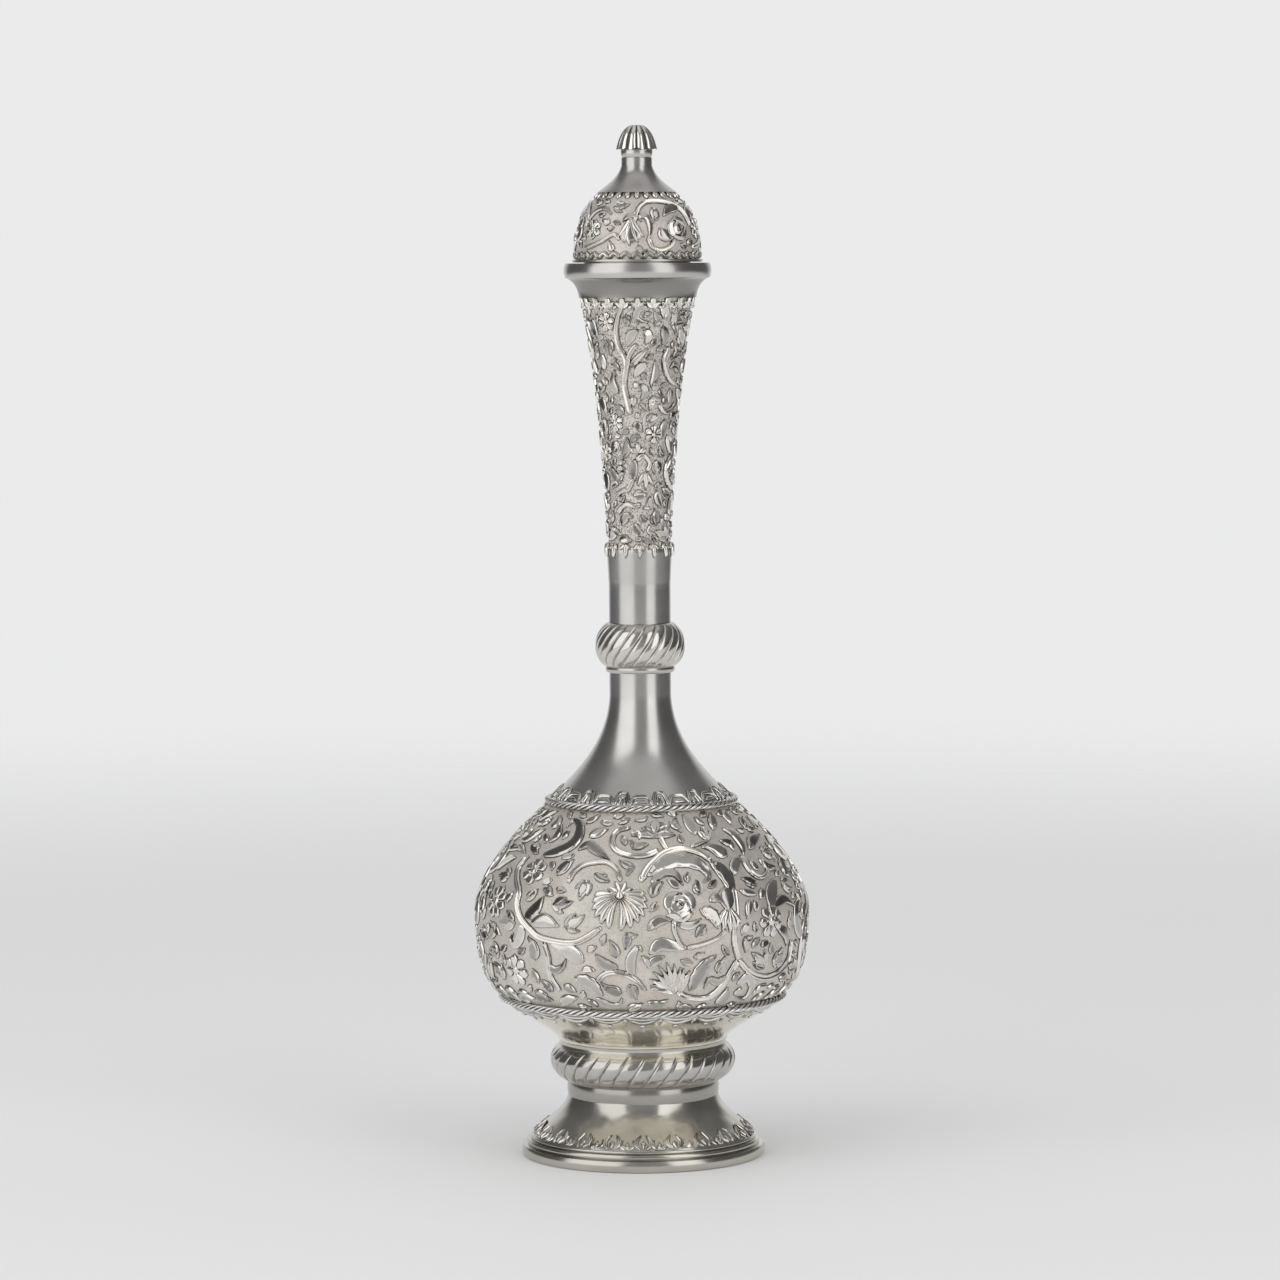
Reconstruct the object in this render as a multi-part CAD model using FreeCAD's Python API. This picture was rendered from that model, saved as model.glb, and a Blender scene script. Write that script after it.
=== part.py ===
import FreeCAD, Part
import math
import os

# A silver surahi: a tall flask with a spread foot, a round chased belly, a slender neck
# that widens to a flat mouth, and a domed lid that lifts off. Its pieces are raised,
# spun or turned by themselves and soldered in a stack round one upright axis. The lid
# is loose. Lengths are in millimetres. The origin is at the centre of the foot, on the
# surface that it stands on, and +Z is up.

# Walls and clearances
sheet_wall = 1.1
floor_wall = 1.2
sleeve_wall = 0.8
solder_gap = 0.05
lid_gap = 0.3
screw_gap = 0.05

# Heights of the stacked pieces, from the table upwards
bead_height = 3.6
step_height = 1.9
fillet_height = 1.3
skirt_height = 13.5
band_height = 4.9
knop_height = 12.0
collar_height = 2.6
cup_height = 14.7
belly_lower_height = 29.5
belly_upper_height = 37.5
cone_height = 35.5
neck_below_joint = 17.5
neck_above_joint = 20.5
flare_height = 97.0
cove_height = 6.7
rim_height = 4.9
flange_height = 1.0
dome_height = 22.5
spire_height = 9.1
stem_height = 2.5
finial_collar_height = 4.2
bud_height = 6.8

# Radii of the foot
foot_radius = 41.5
step_radius = 39.7
fillet_radius = 38.5
foot_bore_radius = 36.6
skirt_radius = 38.0
band_radius = 25.6
knop_foot_radius = 26.0
knop_radius = 31.5
knop_top_radius = 29.3
collar_waist_radius = 28.4
collar_foot_radius = 29.0
collar_bore_radius = 26.9
step_edge_round = 0.4
band_bead = 0.3

# Radii of the belly and the neck
cup_foot_radius = 28.8
belly_foot_radius = 47.7
belly_radius = 57.3
shoulder_radius = 31.5
neck_radius = 10.5
mouth_radius = 19.9
rim_radius = 25.0
mouth_bore_radius = 18.4
rim_edge_round = 0.5

# Radii of the lid
flange_radius = 22.1
dome_foot_radius = 21.8
spire_foot_radius = 13.4
stem_radius = 5.2
finial_collar_radius = 5.4
finial_collar_edge_radius = 4.9
bud_radius = 7.2
bud_top_radius = 2.2
bezel_depth = 11.0

# Twisted lobes of the two knops, and the ribs of the bud
knop_lobes = 34
knop_lobe_depth = 0.75
knop_twist = 14.0
ring_lobes = 22
ring_lobe_depth = 0.9
ring_twist = 40.0
bud_ribs = 12
bud_rib_depth = 0.9
bud_undercut = 2.2
bud_rib_fade = 0.7
lobe_sections = 7

# The ring that hides the neck joint, with the small step ring below it
step_ring_height = 2.4
step_ring_radius = 11.8
step_ring_edge_radius = 11.3
step_ring_rise = 8.0
neck_ring_height = 14.4
neck_ring_radius = 15.3
neck_ring_foot_radius = 12.4
neck_ring_top_radius = 11.3
sleeve_reach = 14.0

# Rope wires that cover the two soldered seams of the belly
rope_radius = 1.2
rope_stand = 0.35

# Screw that holds the finial
stud_radius = 1.5
stud_in_bud = 3.4
washer_radius = 3.3
washer_height = 0.5
nut_flats = 5.5
nut_height = 2.2
stud_past_nut = 0.6

# Heights where the pieces meet
rim_step_z = bead_height
rim_fillet_z = rim_step_z + step_height
skirt_z = rim_fillet_z + fillet_height
band_z = skirt_z + skirt_height
knop_z = band_z + band_height
collar_z = knop_z + knop_height
cup_z = collar_z + collar_height
belly_z = cup_z + cup_height
widest_z = belly_z + belly_lower_height
shoulder_z = widest_z + belly_upper_height
cone_top_z = shoulder_z + cone_height
neck_joint_z = cone_top_z + neck_below_joint
flare_z = neck_joint_z + neck_above_joint
mouth_z = flare_z + flare_height
rim_z = mouth_z + cove_height
top_z = rim_z + rim_height
flange_z = top_z + lid_gap
dome_z = flange_z + flange_height
spire_z = dome_z + dome_height
stem_z = spire_z + spire_height
finial_z = stem_z + stem_height
bud_z = finial_z + finial_collar_height
step_ring_z = cone_top_z + step_ring_rise
neck_ring_z = step_ring_z + step_ring_height
neck_ring_top_z = neck_ring_z + neck_ring_height

# Shapes of the curved walls. Each pair is a handle of the curve, as shares of the
# change in radius and of the rise between the two ends of that wall.
skirt_handles = ((0.23, 0.25), (0.85, 0.55))
cup_handles = ((0.07, 0.26), (0.69, 0.56))
belly_lower_handles = ((0.66, 0.15), (1.0, 0.39))
belly_upper_handles = ((0.0, 0.24), (0.37, 0.64))
cone_handles = ((0.40, 0.24), (0.95, 0.52))
flare_handles = ((0.14, 0.28), (0.28, 0.69))
cove_handles = ((0.05, 0.45), (0.40, 0.90))
dome_handles = ((0.0, 0.33), (0.05, 0.72))
spire_handles = ((0.32, 0.24), (0.84, 0.50))
knop_shoulders = (0.28, 0.78)
ring_shoulders = (0.20, 0.78)
bud_handles = ((0.10, 0.38), (0.20, 0.80))

axis_foot = FreeCAD.Vector(0, 0, 0)
axis_up = FreeCAD.Vector(0, 0, 1)


def point(radius, height):
    """A point of an outline, in the XZ plane."""
    return FreeCAD.Vector(radius, 0, height)


def curve(start, end, handles):
    """A smooth span between two (radius, height) ends, shaped by its two handles."""
    change = (end[0] - start[0], end[1] - start[1])
    poles = [point(*start)]
    for radius_share, height_share in handles:
        radius = start[0] + radius_share * change[0]
        poles.append(point(radius, start[1] + height_share * change[1]))
    poles.append(point(*end))
    span = Part.BezierCurve()
    span.setPoles(poles)
    return span


def bulge(start, end, widest, shoulders):
    """A span that swells to the widest radius between its two ends."""
    handle_radius = (8 * widest - start[0] - end[0]) / 6
    rise = end[1] - start[1]
    span = Part.BezierCurve()
    span.setPoles([
        point(*start),
        point(handle_radius, start[1] + shoulders[0] * rise),
        point(handle_radius, start[1] + shoulders[1] * rise),
        point(*end),
    ])
    return span


def inside_of(span, wall, samples=7):
    """The span moved inwards by a wall, with its ends kept at their heights."""
    points = []
    for i in range(samples):
        at = i / (samples - 1)
        place = span.value(at)
        along = span.tangent(at)[0]
        lean = along.x / along.z
        points.append(point(place.x - wall * math.hypot(1, lean), place.z))
    inner = Part.BSplineCurve()
    inner.interpolate(points)
    return inner


def turned(edges):
    """A solid turned round the axis from the edges of a closed outline."""
    outline = Part.Wire(Part.__sortEdges__(edges))
    solid = Part.Face(outline).revolve(axis_foot, axis_up, 360)
    return Part.Solid(solid) if solid.ShapeType != "Solid" else solid


def line(start, end):
    """A straight edge of an outline between two points."""
    return Part.makeLine(start, end)


def turned_polygon(corners):
    """A turned solid from the (radius, height) corners of its outline."""
    points = [point(*corner) for corner in corners]
    closed = points + points[:1]
    return turned([line(a, b) for a, b in zip(closed, closed[1:])])


def walled(span, wall=sheet_wall):
    """An open ring of sheet: the span outside, the same span a wall further in."""
    inner = inside_of(span, wall)
    outer_foot, outer_top = span.value(0), span.value(1)
    inner_foot = inner.value(inner.FirstParameter)
    inner_top = inner.value(inner.LastParameter)
    return turned([
        span.toShape(),
        line(outer_top, inner_top),
        inner.toShape(),
        line(inner_foot, outer_foot),
    ])


def tube(inner_radius, outer_radius, bottom, top):
    """A plain upright tube."""
    return turned_polygon([
        (inner_radius, bottom),
        (outer_radius, bottom),
        (outer_radius, top),
        (inner_radius, top),
    ])


def beaded(bore, lower_edge, upper_edge, middle, bottom, top):
    """A turned ring whose outside is one arc between two edges: a bead or a groove."""
    arc = Part.Arc(
        point(lower_edge, bottom),
        point(middle, (bottom + top) / 2),
        point(upper_edge, top),
    )
    return turned([
        arc.toShape(),
        line(point(upper_edge, top), point(bore, top)),
        line(point(bore, top), point(bore, bottom)),
        line(point(bore, bottom), point(lower_edge, bottom)),
    ])


def lobed_outline(radius, depth, lobes, turn, height):
    """A level outline of equal arcs that meet in creases, each swelling by the depth."""
    step = 2 * math.pi / lobes
    arcs = []
    for i in range(lobes):
        corners = []
        for share, reach in ((0, radius - depth), (0.5, radius), (1, radius - depth)):
            angle = turn + (i + share) * step
            x = reach * math.cos(angle)
            y = reach * math.sin(angle)
            corners.append(FreeCAD.Vector(x, y, height))
        arcs.append(Part.Arc(*corners).toShape())
    return Part.Wire(arcs)


def lobed_solid(span, depth_at, lobes, twist_degrees):
    """A solid through lobed outlines that turn steadily as they follow the span up."""
    sections = []
    for i in range(lobe_sections):
        share = i / (lobe_sections - 1)
        place = span.value(share)
        turn = math.radians(twist_degrees) * share
        sections.append(lobed_outline(place.x, depth_at(share), lobes, turn, place.z))
    return Part.makeLoft(sections, True, False)


def swelling(depth):
    """A lobe depth that is nothing at both edges and full between them."""
    return lambda share: depth * math.sqrt(math.sin(math.pi * min(max(share, 0), 1)))


def foot_rim():
    """The heavy ring that the surahi stands on: three rounded steps."""
    steps = (
        (foot_radius, 0, rim_step_z),
        (step_radius, rim_step_z, rim_fillet_z),
        (fillet_radius, rim_fillet_z, skirt_z),
    )
    edges = []
    last = point(foot_bore_radius, 0)
    for radius, bottom, top in steps:
        start = point(radius - step_edge_round, bottom)
        end = point(radius - step_edge_round, top)
        edges.append(line(last, start))
        edges.append(Part.Arc(start, point(radius, (bottom + top) / 2), end).toShape())
        last = end
    inner_top = point(foot_bore_radius, skirt_z)
    edges.append(line(last, inner_top))
    edges.append(line(inner_top, point(foot_bore_radius, 0)))
    return turned(edges)


def foot_skirt():
    """The spun bell of the foot, hollow underneath."""
    return walled(curve((skirt_radius, skirt_z), (band_radius, band_z), skirt_handles))


def foot_band():
    """The plain band above the skirt, with a soft bead for its outside."""
    return beaded(
        band_radius - sheet_wall, band_radius, band_radius, band_radius + band_bead,
        band_z, knop_z,
    )


def foot_knop():
    """The hollow knop of the foot, chased with twisted lobes."""
    foot = (knop_foot_radius, knop_z)
    top = (knop_top_radius, collar_z)
    outside = bulge(foot, top, knop_radius, knop_shoulders)
    lobed = lobed_solid(outside, swelling(knop_lobe_depth), knop_lobes, knop_twist)
    inside = inside_of(outside, sheet_wall + knop_lobe_depth)
    hollow_foot = inside.value(inside.FirstParameter)
    hollow_top = inside.value(inside.LastParameter)
    hollow = turned([
        inside.toShape(),
        line(hollow_top, point(0, hollow_top.z)),
        line(point(0, hollow_top.z), point(0, hollow_foot.z)),
        line(point(0, hollow_foot.z), hollow_foot),
    ])
    return lobed.cut(hollow)


def foot_collar():
    """The narrow waist between the knop and the cup, a shallow groove all round."""
    return beaded(
        collar_bore_radius, collar_foot_radius, cup_foot_radius,
        collar_waist_radius, collar_z, cup_z,
    )


def bowl_cup():
    """The cup under the belly: a closed floor and a wall that sweeps outwards."""
    outside = curve((cup_foot_radius, cup_z), (belly_foot_radius, belly_z), cup_handles)
    floor = Part.makeCylinder(cup_foot_radius - sheet_wall / 2, floor_wall)
    floor.translate(FreeCAD.Vector(0, 0, cup_z))
    cup = walled(outside).fuse(floor)
    return cup.removeSplitter()


def belly_lower_span():
    """The outside of the belly from the rope wire up to the widest line."""
    start = (belly_foot_radius, belly_z)
    return curve(start, (belly_radius, widest_z), belly_lower_handles)


def belly_upper_span():
    """The outside of the belly from the widest line up to the shoulder."""
    start = (belly_radius, widest_z)
    return curve(start, (shoulder_radius, shoulder_z), belly_upper_handles)


def cone_span():
    """The outside of the plain shoulder, drawn in to the neck."""
    start = (shoulder_radius, shoulder_z)
    return curve(start, (neck_radius, cone_top_z), cone_handles)


def flare_span():
    """The outside of the upper neck where it widens towards the mouth."""
    return curve((neck_radius, flare_z), (mouth_radius, mouth_z), flare_handles)


def tube_and_flare(span, tube_bottom, tube_top):
    """A curved wall of sheet and the straight tube of the neck, in one piece."""
    straight = tube(neck_radius - sheet_wall, neck_radius, tube_bottom, tube_top)
    return walled(span).fuse(straight).removeSplitter()


def neck_cone():
    """The plain shoulder and the lower neck, up to the joint inside the neck ring."""
    return tube_and_flare(cone_span(), cone_top_z, neck_joint_z)


def upper_neck():
    """The upper neck: a plain tube from the joint, then the long chased flare."""
    return tube_and_flare(flare_span(), neck_joint_z, flare_z)


def neck_sleeve():
    """The sleeve inside the neck that lines up its two tubes at the joint."""
    outer = neck_radius - sheet_wall - solder_gap
    bottom = neck_joint_z - sleeve_reach
    return tube(outer - sleeve_wall, outer, bottom, neck_joint_z + sleeve_reach)


def neck_step_ring():
    """The small plain ring that the twisted neck ring rests on."""
    return beaded(
        neck_radius + solder_gap, step_ring_edge_radius, step_ring_edge_radius,
        step_ring_radius, step_ring_z, neck_ring_z,
    )


def neck_ring():
    """The twisted lobed ring that hides the joint of the neck."""
    foot = (neck_ring_foot_radius, neck_ring_z)
    top = (neck_ring_top_radius, neck_ring_top_z)
    outside = bulge(foot, top, neck_ring_radius, ring_shoulders)
    lobed = lobed_solid(outside, swelling(ring_lobe_depth), ring_lobes, ring_twist)
    bore = Part.makeCylinder(neck_radius + solder_gap, neck_ring_height)
    bore.translate(FreeCAD.Vector(0, 0, neck_ring_z))
    return lobed.cut(bore)


def rope_wire(height, radius, carriers):
    """A rope wire laid on a seam, seated against the pieces that carry it."""
    wire = Part.makeTorus(radius + rope_stand, rope_radius)
    wire.translate(FreeCAD.Vector(0, 0, height))
    outside = wire
    for carrier in carriers:
        outside = outside.cut(carrier)
    return max(outside.Solids, key=lambda solid: solid.BoundBox.XMax)


def mouth_rim():
    """The mouth: a cove under a heavy flat-topped rim, bored for the lid."""
    edge_radius = rim_radius - rim_edge_round
    cove = curve((mouth_radius, mouth_z), (edge_radius, rim_z), cove_handles)
    lower_edge = point(edge_radius, rim_z)
    upper_edge = point(edge_radius, top_z)
    face = Part.Arc(lower_edge, point(rim_radius, (rim_z + top_z) / 2), upper_edge)
    inner_top = point(mouth_bore_radius, top_z)
    inner_foot = point(mouth_bore_radius, mouth_z)
    return turned([
        cove.toShape(),
        face.toShape(),
        line(upper_edge, inner_top),
        line(inner_top, inner_foot),
        line(inner_foot, point(mouth_radius, mouth_z)),
    ])


def lid_bezel():
    """The lid's seat: a flat flange on the rim, and a sleeve that drops in the mouth."""
    outer = mouth_bore_radius - lid_gap
    inner = outer - sleeve_wall
    bottom = top_z - bezel_depth
    return turned_polygon([
        (inner, bottom),
        (outer, bottom),
        (outer, flange_z),
        (flange_radius, flange_z),
        (flange_radius, dome_z),
        (inner, dome_z),
    ])


def lid_dome():
    """The chased dome of the lid, open at its top under the spire."""
    start = (dome_foot_radius, dome_z)
    return walled(curve(start, (spire_foot_radius, spire_z), dome_handles))


def lid_spire():
    """The plain spire: a hollow sweep up to a short stem, bored for the stud."""
    outside = curve((spire_foot_radius, spire_z), (stem_radius, stem_z), spire_handles)
    stem = tube(stud_radius + screw_gap, stem_radius, stem_z, finial_z)
    return walled(outside).fuse(stem).removeSplitter()


def finial_collar():
    """The turned collar between the stem and the bud."""
    edge = finial_collar_edge_radius
    return beaded(
        stud_radius + screw_gap, edge, edge, finial_collar_radius, finial_z, bud_z,
    )


def finial_bud():
    """The ribbed bud, undercut so that its ribs end in hanging tips."""
    start = (bud_radius, bud_z - bud_undercut)
    outside = curve(start, (bud_top_radius, bud_z + bud_height), bud_handles)

    def rib_depth(share):
        return bud_rib_depth * (1 - bud_rib_fade * share)

    ribbed = lobed_solid(outside, rib_depth, bud_ribs, 0)
    lip = bud_radius + 1
    undercut = turned_polygon([
        (0, bud_z - bud_undercut - 1),
        (lip, bud_z - bud_undercut - 1),
        (lip, bud_z - bud_undercut),
        (finial_collar_edge_radius, bud_z),
        (0, bud_z),
    ])
    socket = Part.makeCylinder(stud_radius + screw_gap, stud_in_bud)
    socket.translate(FreeCAD.Vector(0, 0, bud_z))
    return ribbed.cut(undercut).cut(socket)


def finial_stud():
    """The stud that ties the bud, collar and spire together."""
    bottom = stem_z - washer_height - nut_height - stud_past_nut
    stud = Part.makeCylinder(stud_radius, bud_z + stud_in_bud - bottom)
    stud.translate(FreeCAD.Vector(0, 0, bottom))
    return stud


def finial_washer():
    """The washer under the stem, inside the spire."""
    bottom = stem_z - washer_height
    return tube(stud_radius + screw_gap, washer_radius, bottom, stem_z)


def finial_nut():
    """The six-sided nut that pulls the stud tight inside the spire."""
    top = stem_z - washer_height
    corner = nut_flats / math.sqrt(3)
    corners = []
    for i in range(7):
        angle = math.radians(60 * i)
        x = corner * math.cos(angle)
        corners.append(FreeCAD.Vector(x, corner * math.sin(angle), top - nut_height))
    block = Part.Face(Part.makePolygon(corners))
    block = block.extrude(FreeCAD.Vector(0, 0, nut_height))
    bore = Part.makeCylinder(stud_radius + screw_gap, nut_height)
    bore.translate(FreeCAD.Vector(0, 0, top - nut_height))
    return block.cut(bore)


def belly_pieces():
    """The cup, the two raised halves of the belly and the cone, with their wires."""
    cup = bowl_cup()
    lower = walled(belly_lower_span())
    upper = walled(belly_upper_span())
    cone = neck_cone()
    return {
        "bowl_cup": cup,
        "belly_lower": lower,
        "belly_upper": upper,
        "neck_cone": cone,
        "belly_rope_wire": rope_wire(belly_z, belly_foot_radius, (cup, lower)),
        "shoulder_rope_wire": rope_wire(shoulder_z, shoulder_radius, (upper, cone)),
    }


def main():
    """Build every piece, report its state and write it to its own file."""
    pieces = {
        "foot_rim": foot_rim(),
        "foot_skirt": foot_skirt(),
        "foot_band": foot_band(),
        "foot_knop": foot_knop(),
        "foot_collar": foot_collar(),
    }
    pieces.update(belly_pieces())
    pieces.update({
        "neck_step_ring": neck_step_ring(),
        "neck_ring": neck_ring(),
        "neck_sleeve": neck_sleeve(),
        "upper_neck": upper_neck(),
        "mouth_rim": mouth_rim(),
        "lid_bezel": lid_bezel(),
        "lid_dome": lid_dome(),
        "lid_spire": lid_spire(),
        "finial_collar": finial_collar(),
        "finial_bud": finial_bud(),
        "finial_stud": finial_stud(),
        "finial_washer": finial_washer(),
        "finial_nut": finial_nut(),
    })
    os.makedirs("parts", exist_ok=True)
    for name, shape in pieces.items():
        solids = len(shape.Solids)
        print(name, shape.isValid(), solids, "solid", round(shape.Volume, 1), "mm3")
        shape.exportStep("parts/" + name + ".step")


main()
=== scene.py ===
import bpy
import math
import numpy as np
from mathutils import Matrix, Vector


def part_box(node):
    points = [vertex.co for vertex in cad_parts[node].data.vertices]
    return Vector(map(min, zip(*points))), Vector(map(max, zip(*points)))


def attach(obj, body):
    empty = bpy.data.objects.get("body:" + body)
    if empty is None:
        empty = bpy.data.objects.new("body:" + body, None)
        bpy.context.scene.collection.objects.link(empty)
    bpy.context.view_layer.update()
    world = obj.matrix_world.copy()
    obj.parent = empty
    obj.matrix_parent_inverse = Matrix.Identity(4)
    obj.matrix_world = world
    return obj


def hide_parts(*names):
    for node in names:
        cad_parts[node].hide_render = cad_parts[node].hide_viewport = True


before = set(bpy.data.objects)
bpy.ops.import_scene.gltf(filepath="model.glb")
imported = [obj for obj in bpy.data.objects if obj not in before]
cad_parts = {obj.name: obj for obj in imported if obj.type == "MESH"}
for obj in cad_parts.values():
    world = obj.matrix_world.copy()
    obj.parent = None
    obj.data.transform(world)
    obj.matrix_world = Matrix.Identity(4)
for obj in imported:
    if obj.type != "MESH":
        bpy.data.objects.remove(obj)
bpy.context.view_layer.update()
bpy.ops.object.select_all(action="DESELECT")

MM = 0.001

# The camera, fitted to the photograph's ellipses
CAMERA_DISTANCE = 1.6789
CAMERA_HEIGHT = 0.3036
CAMERA_PITCH = math.radians(4.355)
CAMERA_ROLL = math.radians(-0.4)
FOCAL_PIXELS = 4950
FRAME_PIXELS = 1280
SENSOR_WIDTH = 36

# Heights and radii of the pieces, read from the frame
FOOT_LOW, FOOT_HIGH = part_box("foot_rim")
SKIRT_LOW, SKIRT_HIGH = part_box("foot_skirt")
BAND_LOW, BAND_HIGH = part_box("foot_band")
KNOP_LOW, KNOP_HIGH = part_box("foot_knop")
COLLAR_LOW, COLLAR_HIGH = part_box("foot_collar")
CUP_LOW, CUP_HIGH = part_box("bowl_cup")
BELLY_LOW, BELLY_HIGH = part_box("belly_lower")
UPPER_LOW, UPPER_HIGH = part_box("belly_upper")
CONE_LOW, CONE_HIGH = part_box("neck_cone")
STEP_LOW, STEP_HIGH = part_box("neck_step_ring")
RING_LOW, RING_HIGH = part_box("neck_ring")
NECK_LOW, NECK_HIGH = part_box("upper_neck")
MOUTH_LOW, MOUTH_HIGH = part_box("mouth_rim")
BEZEL_LOW, BEZEL_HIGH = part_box("lid_bezel")
DOME_LOW, DOME_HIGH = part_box("lid_dome")
SPIRE_LOW, SPIRE_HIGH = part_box("lid_spire")
NECKLET_LOW, NECKLET_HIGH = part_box("finial_collar")
BUD_LOW, BUD_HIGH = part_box("finial_bud")

# Sizes that no box of the frame gives
WALL = 1.0 * MM
THIN_WALL = 0.9 * MM
KNOP_WALL = 1.7 * MM
RELIEF = 1.1 * MM
BORDER_RELIEF = 0.5 * MM
GROOVE = 0.27 * MM
ROOT_DEPTH = 0.35 * MM
BEAD_RISE = 0.5 * MM
FOOT_STEP_RADII = (41.5 * MM, 39.7 * MM, 38.5 * MM)
FOOT_STEP_TOPS = (3.6 * MM, 5.5 * MM)
FOOT_STEP_RISE = 0.4 * MM
FOOT_BORE = 36.6 * MM
BAND_RADIUS = 25.6 * MM
BAND_RISE = 0.3 * MM
KNOP_FOOT_RADIUS = 26.0 * MM
KNOP_TOP_RADIUS = 29.3 * MM
COLLAR_FOOT_RADIUS = 29.0 * MM
COLLAR_BORE = 26.9 * MM
CUP_FOOT_RADIUS = 28.8 * MM
CUP_FLOOR = 1.2 * MM
NECK_RADIUS = 10.5 * MM
RING_FOOT_RADIUS = 12.4 * MM
RING_TOP_RADIUS = 11.3 * MM
RING_PLAY = 0.05 * MM
CONE_TOP = 157.0 * MM
FLARE_FOOT = 195.0 * MM
RIM_UNDERSIDE = 298.7 * MM
MOUTH_BORE = 18.4 * MM
SLEEVE_PLAY = 0.3 * MM
SLEEVE_WALL = 0.8 * MM
FLANGE_BEVEL = (0.2 * MM, 0.3 * MM)
STEM_RADIUS = 5.2 * MM
STEM_FOOT = 336.5 * MM
SCREW_BORE = 1.55 * MM
BUD_RADIUS = 7.2 * MM
BUD_TOP_RADIUS = 2.2 * MM
BUD_SEAT_RADIUS = 4.9 * MM
BUD_LIP_RADIUS = 6.3 * MM
BUD_LIP_DROP = 1.2 * MM
BUD_RIBS = 12
ROPE_WIRE = 1.2 * MM
ROPE_LAY = 10.6 * MM
ROPE_SEAT = 0.35 * MM
ROPE_STRANDS = 4

# The chased work: heights in millimetres, and how many units each border has
CHASED_BELLY = (56.5, 119.8)
CHASED_NECK_FOOT = 207.0
CHASED_NECK_TOP = 292.0
CHASED_DOME = (306.2, 325)
CUP_SWAGS = 24
CONE_ARCHES = 14
SKIRT_LEAVES = 21
DOME_TIPS = 27
DOME_ARCS = 33
NECK_TOP_TIPS = 22
NECK_FOOT_TIPS = 14

# Curve handles, as shares of each wall's change in radius and of its rise
SKIRT_HANDLES = ((0.23, 0.25), (0.85, 0.55))
CUP_HANDLES = ((0.07, 0.26), (0.69, 0.56))
LOWER_HANDLES = ((0.66, 0.15), (1.0, 0.39))
UPPER_HANDLES = ((0.0, 0.24), (0.37, 0.64))
CONE_HANDLES = ((0.40, 0.24), (0.95, 0.52))
FLARE_HANDLES = ((0.14, 0.28), (0.28, 0.69))
COVE_HANDLES = ((0.05, 0.45), (0.40, 0.90))
DOME_HANDLES = ((0.0, 0.33), (0.05, 0.72))
SPIRE_HANDLES = ((0.32, 0.24), (0.84, 0.50))

# How finely walls are turned, and the angles in degrees below which edges are smoothed
TURN_STEPS = 256
BELLY_STEPS = 320
BUD_RIB_STEPS = 14
WALL_SMOOTHING = 35
ORNAMENT_SMOOTHING = 50

# The hammered unevenness of each wall: its wave and its depth
HAMMERING = {"skirt": (12 * MM, 0.7 * MM), "cup": (8 * MM, 0.28 * MM),
             "belly": (12 * MM, 0.1 * MM), "cone": (30 * MM, 0.08 * MM)}

# The longest stroke that each blank but the last is bent to, and the blanks' cells
BLANK_REACH = (5 * MM, 14 * MM, 32 * MM)
BLANK_CELLS = ((6, 8), (8, 14), (8, 30), (8, 76))

# How dark a painted reflection makes the polished tops of each kind of ornament, from bright to
# dark
SHADES = {"stems": (0.0, 0.3), "leaves": (0.25, 0.9), "flowers": (0.0, 0.35),
          "small_leaves": (0.3, 1.0)}

# The studio: the backdrop's colour, and grey levels of the room round the surahi by the
# share of a half turn away from the camera, and by height with the share that it counts
BACKDROP = (0.83, 0.83, 0.835)
EVEN_LIGHT = 0.72
ROOM_LEVELS = ((0.0, 0.30, 1), (0.10, 0.30, 1), (0.22, 0.14, 1), (0.45, 0.08, 1),
               (0.78, 0.10, 1), (0.86, 0.80, 1), (1.0, 0.80, 1))
HEIGHT_LEVELS = ((0.0, 0.75, 1), (0.40, 0.75, 1), (0.455, 0.3, 0), (0.70, 0.2, 0.1),
                 (0.91, 0.2, 0.8), (0.95, 0.5, 1), (1.0, 0.55, 1))
FLOOR_START = 0.55
FLOOR_END = 1.7
FLOOR_DROP = 0.0002

# The two soft lights: degrees round from the camera, distance, width and height, watts
SOFT_LIGHTS = (("left_softbox", -50, 1.5, (1.7, 2.4), 14.0),
               ("right_softbox", 42, 1.5, (0.9, 2.4), 8.0))


def select_only(piece):
    """Make one object the selected and active one."""
    bpy.ops.object.select_all(action="DESELECT")
    piece.select_set(True)
    bpy.context.view_layer.objects.active = piece


def curve_points(poles, steps):
    """Points of the smooth curve that four poles give, the first and last being its ends."""
    t = np.linspace(0, 1, steps + 1)[:, None]
    a, b, c, d = (np.array(pole)[None, :] for pole in poles)
    points = a * (1 - t) ** 3 + 3 * b * t * (1 - t) ** 2
    return points + 3 * c * t ** 2 * (1 - t) + d * t ** 3


def span(start, end, handles, steps):
    """Points of a smooth curve between two (radius, height) ends."""
    (r0, z0), (r1, z1) = start, end
    poles = [(r0, z0)]
    for radius_share, height_share in handles:
        poles.append((r0 + radius_share * (r1 - r0), z0 + height_share * (z1 - z0)))
    poles.append((r1, z1))
    return curve_points(poles, steps)


def bulge(start, end, widest, shoulders, steps):
    """Points of a span that swells to its widest radius between its ends."""
    handle = (8 * widest - start[0] - end[0]) / 6
    rise = end[1] - start[1]
    poles = [start] + [(handle, start[1] + share * rise) for share in shoulders] + [end]
    return curve_points(poles, steps)


def moved_in(points, depth):
    """An outline moved inwards along its normals, each point kept at its height."""
    lean = np.gradient(points[:, 0]) / np.maximum(np.gradient(points[:, 1]), 1e-7)
    radius = points[:, 0] - depth * np.hypot(1, lean)
    return np.column_stack((np.maximum(radius, 0), points[:, 1]))


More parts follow.
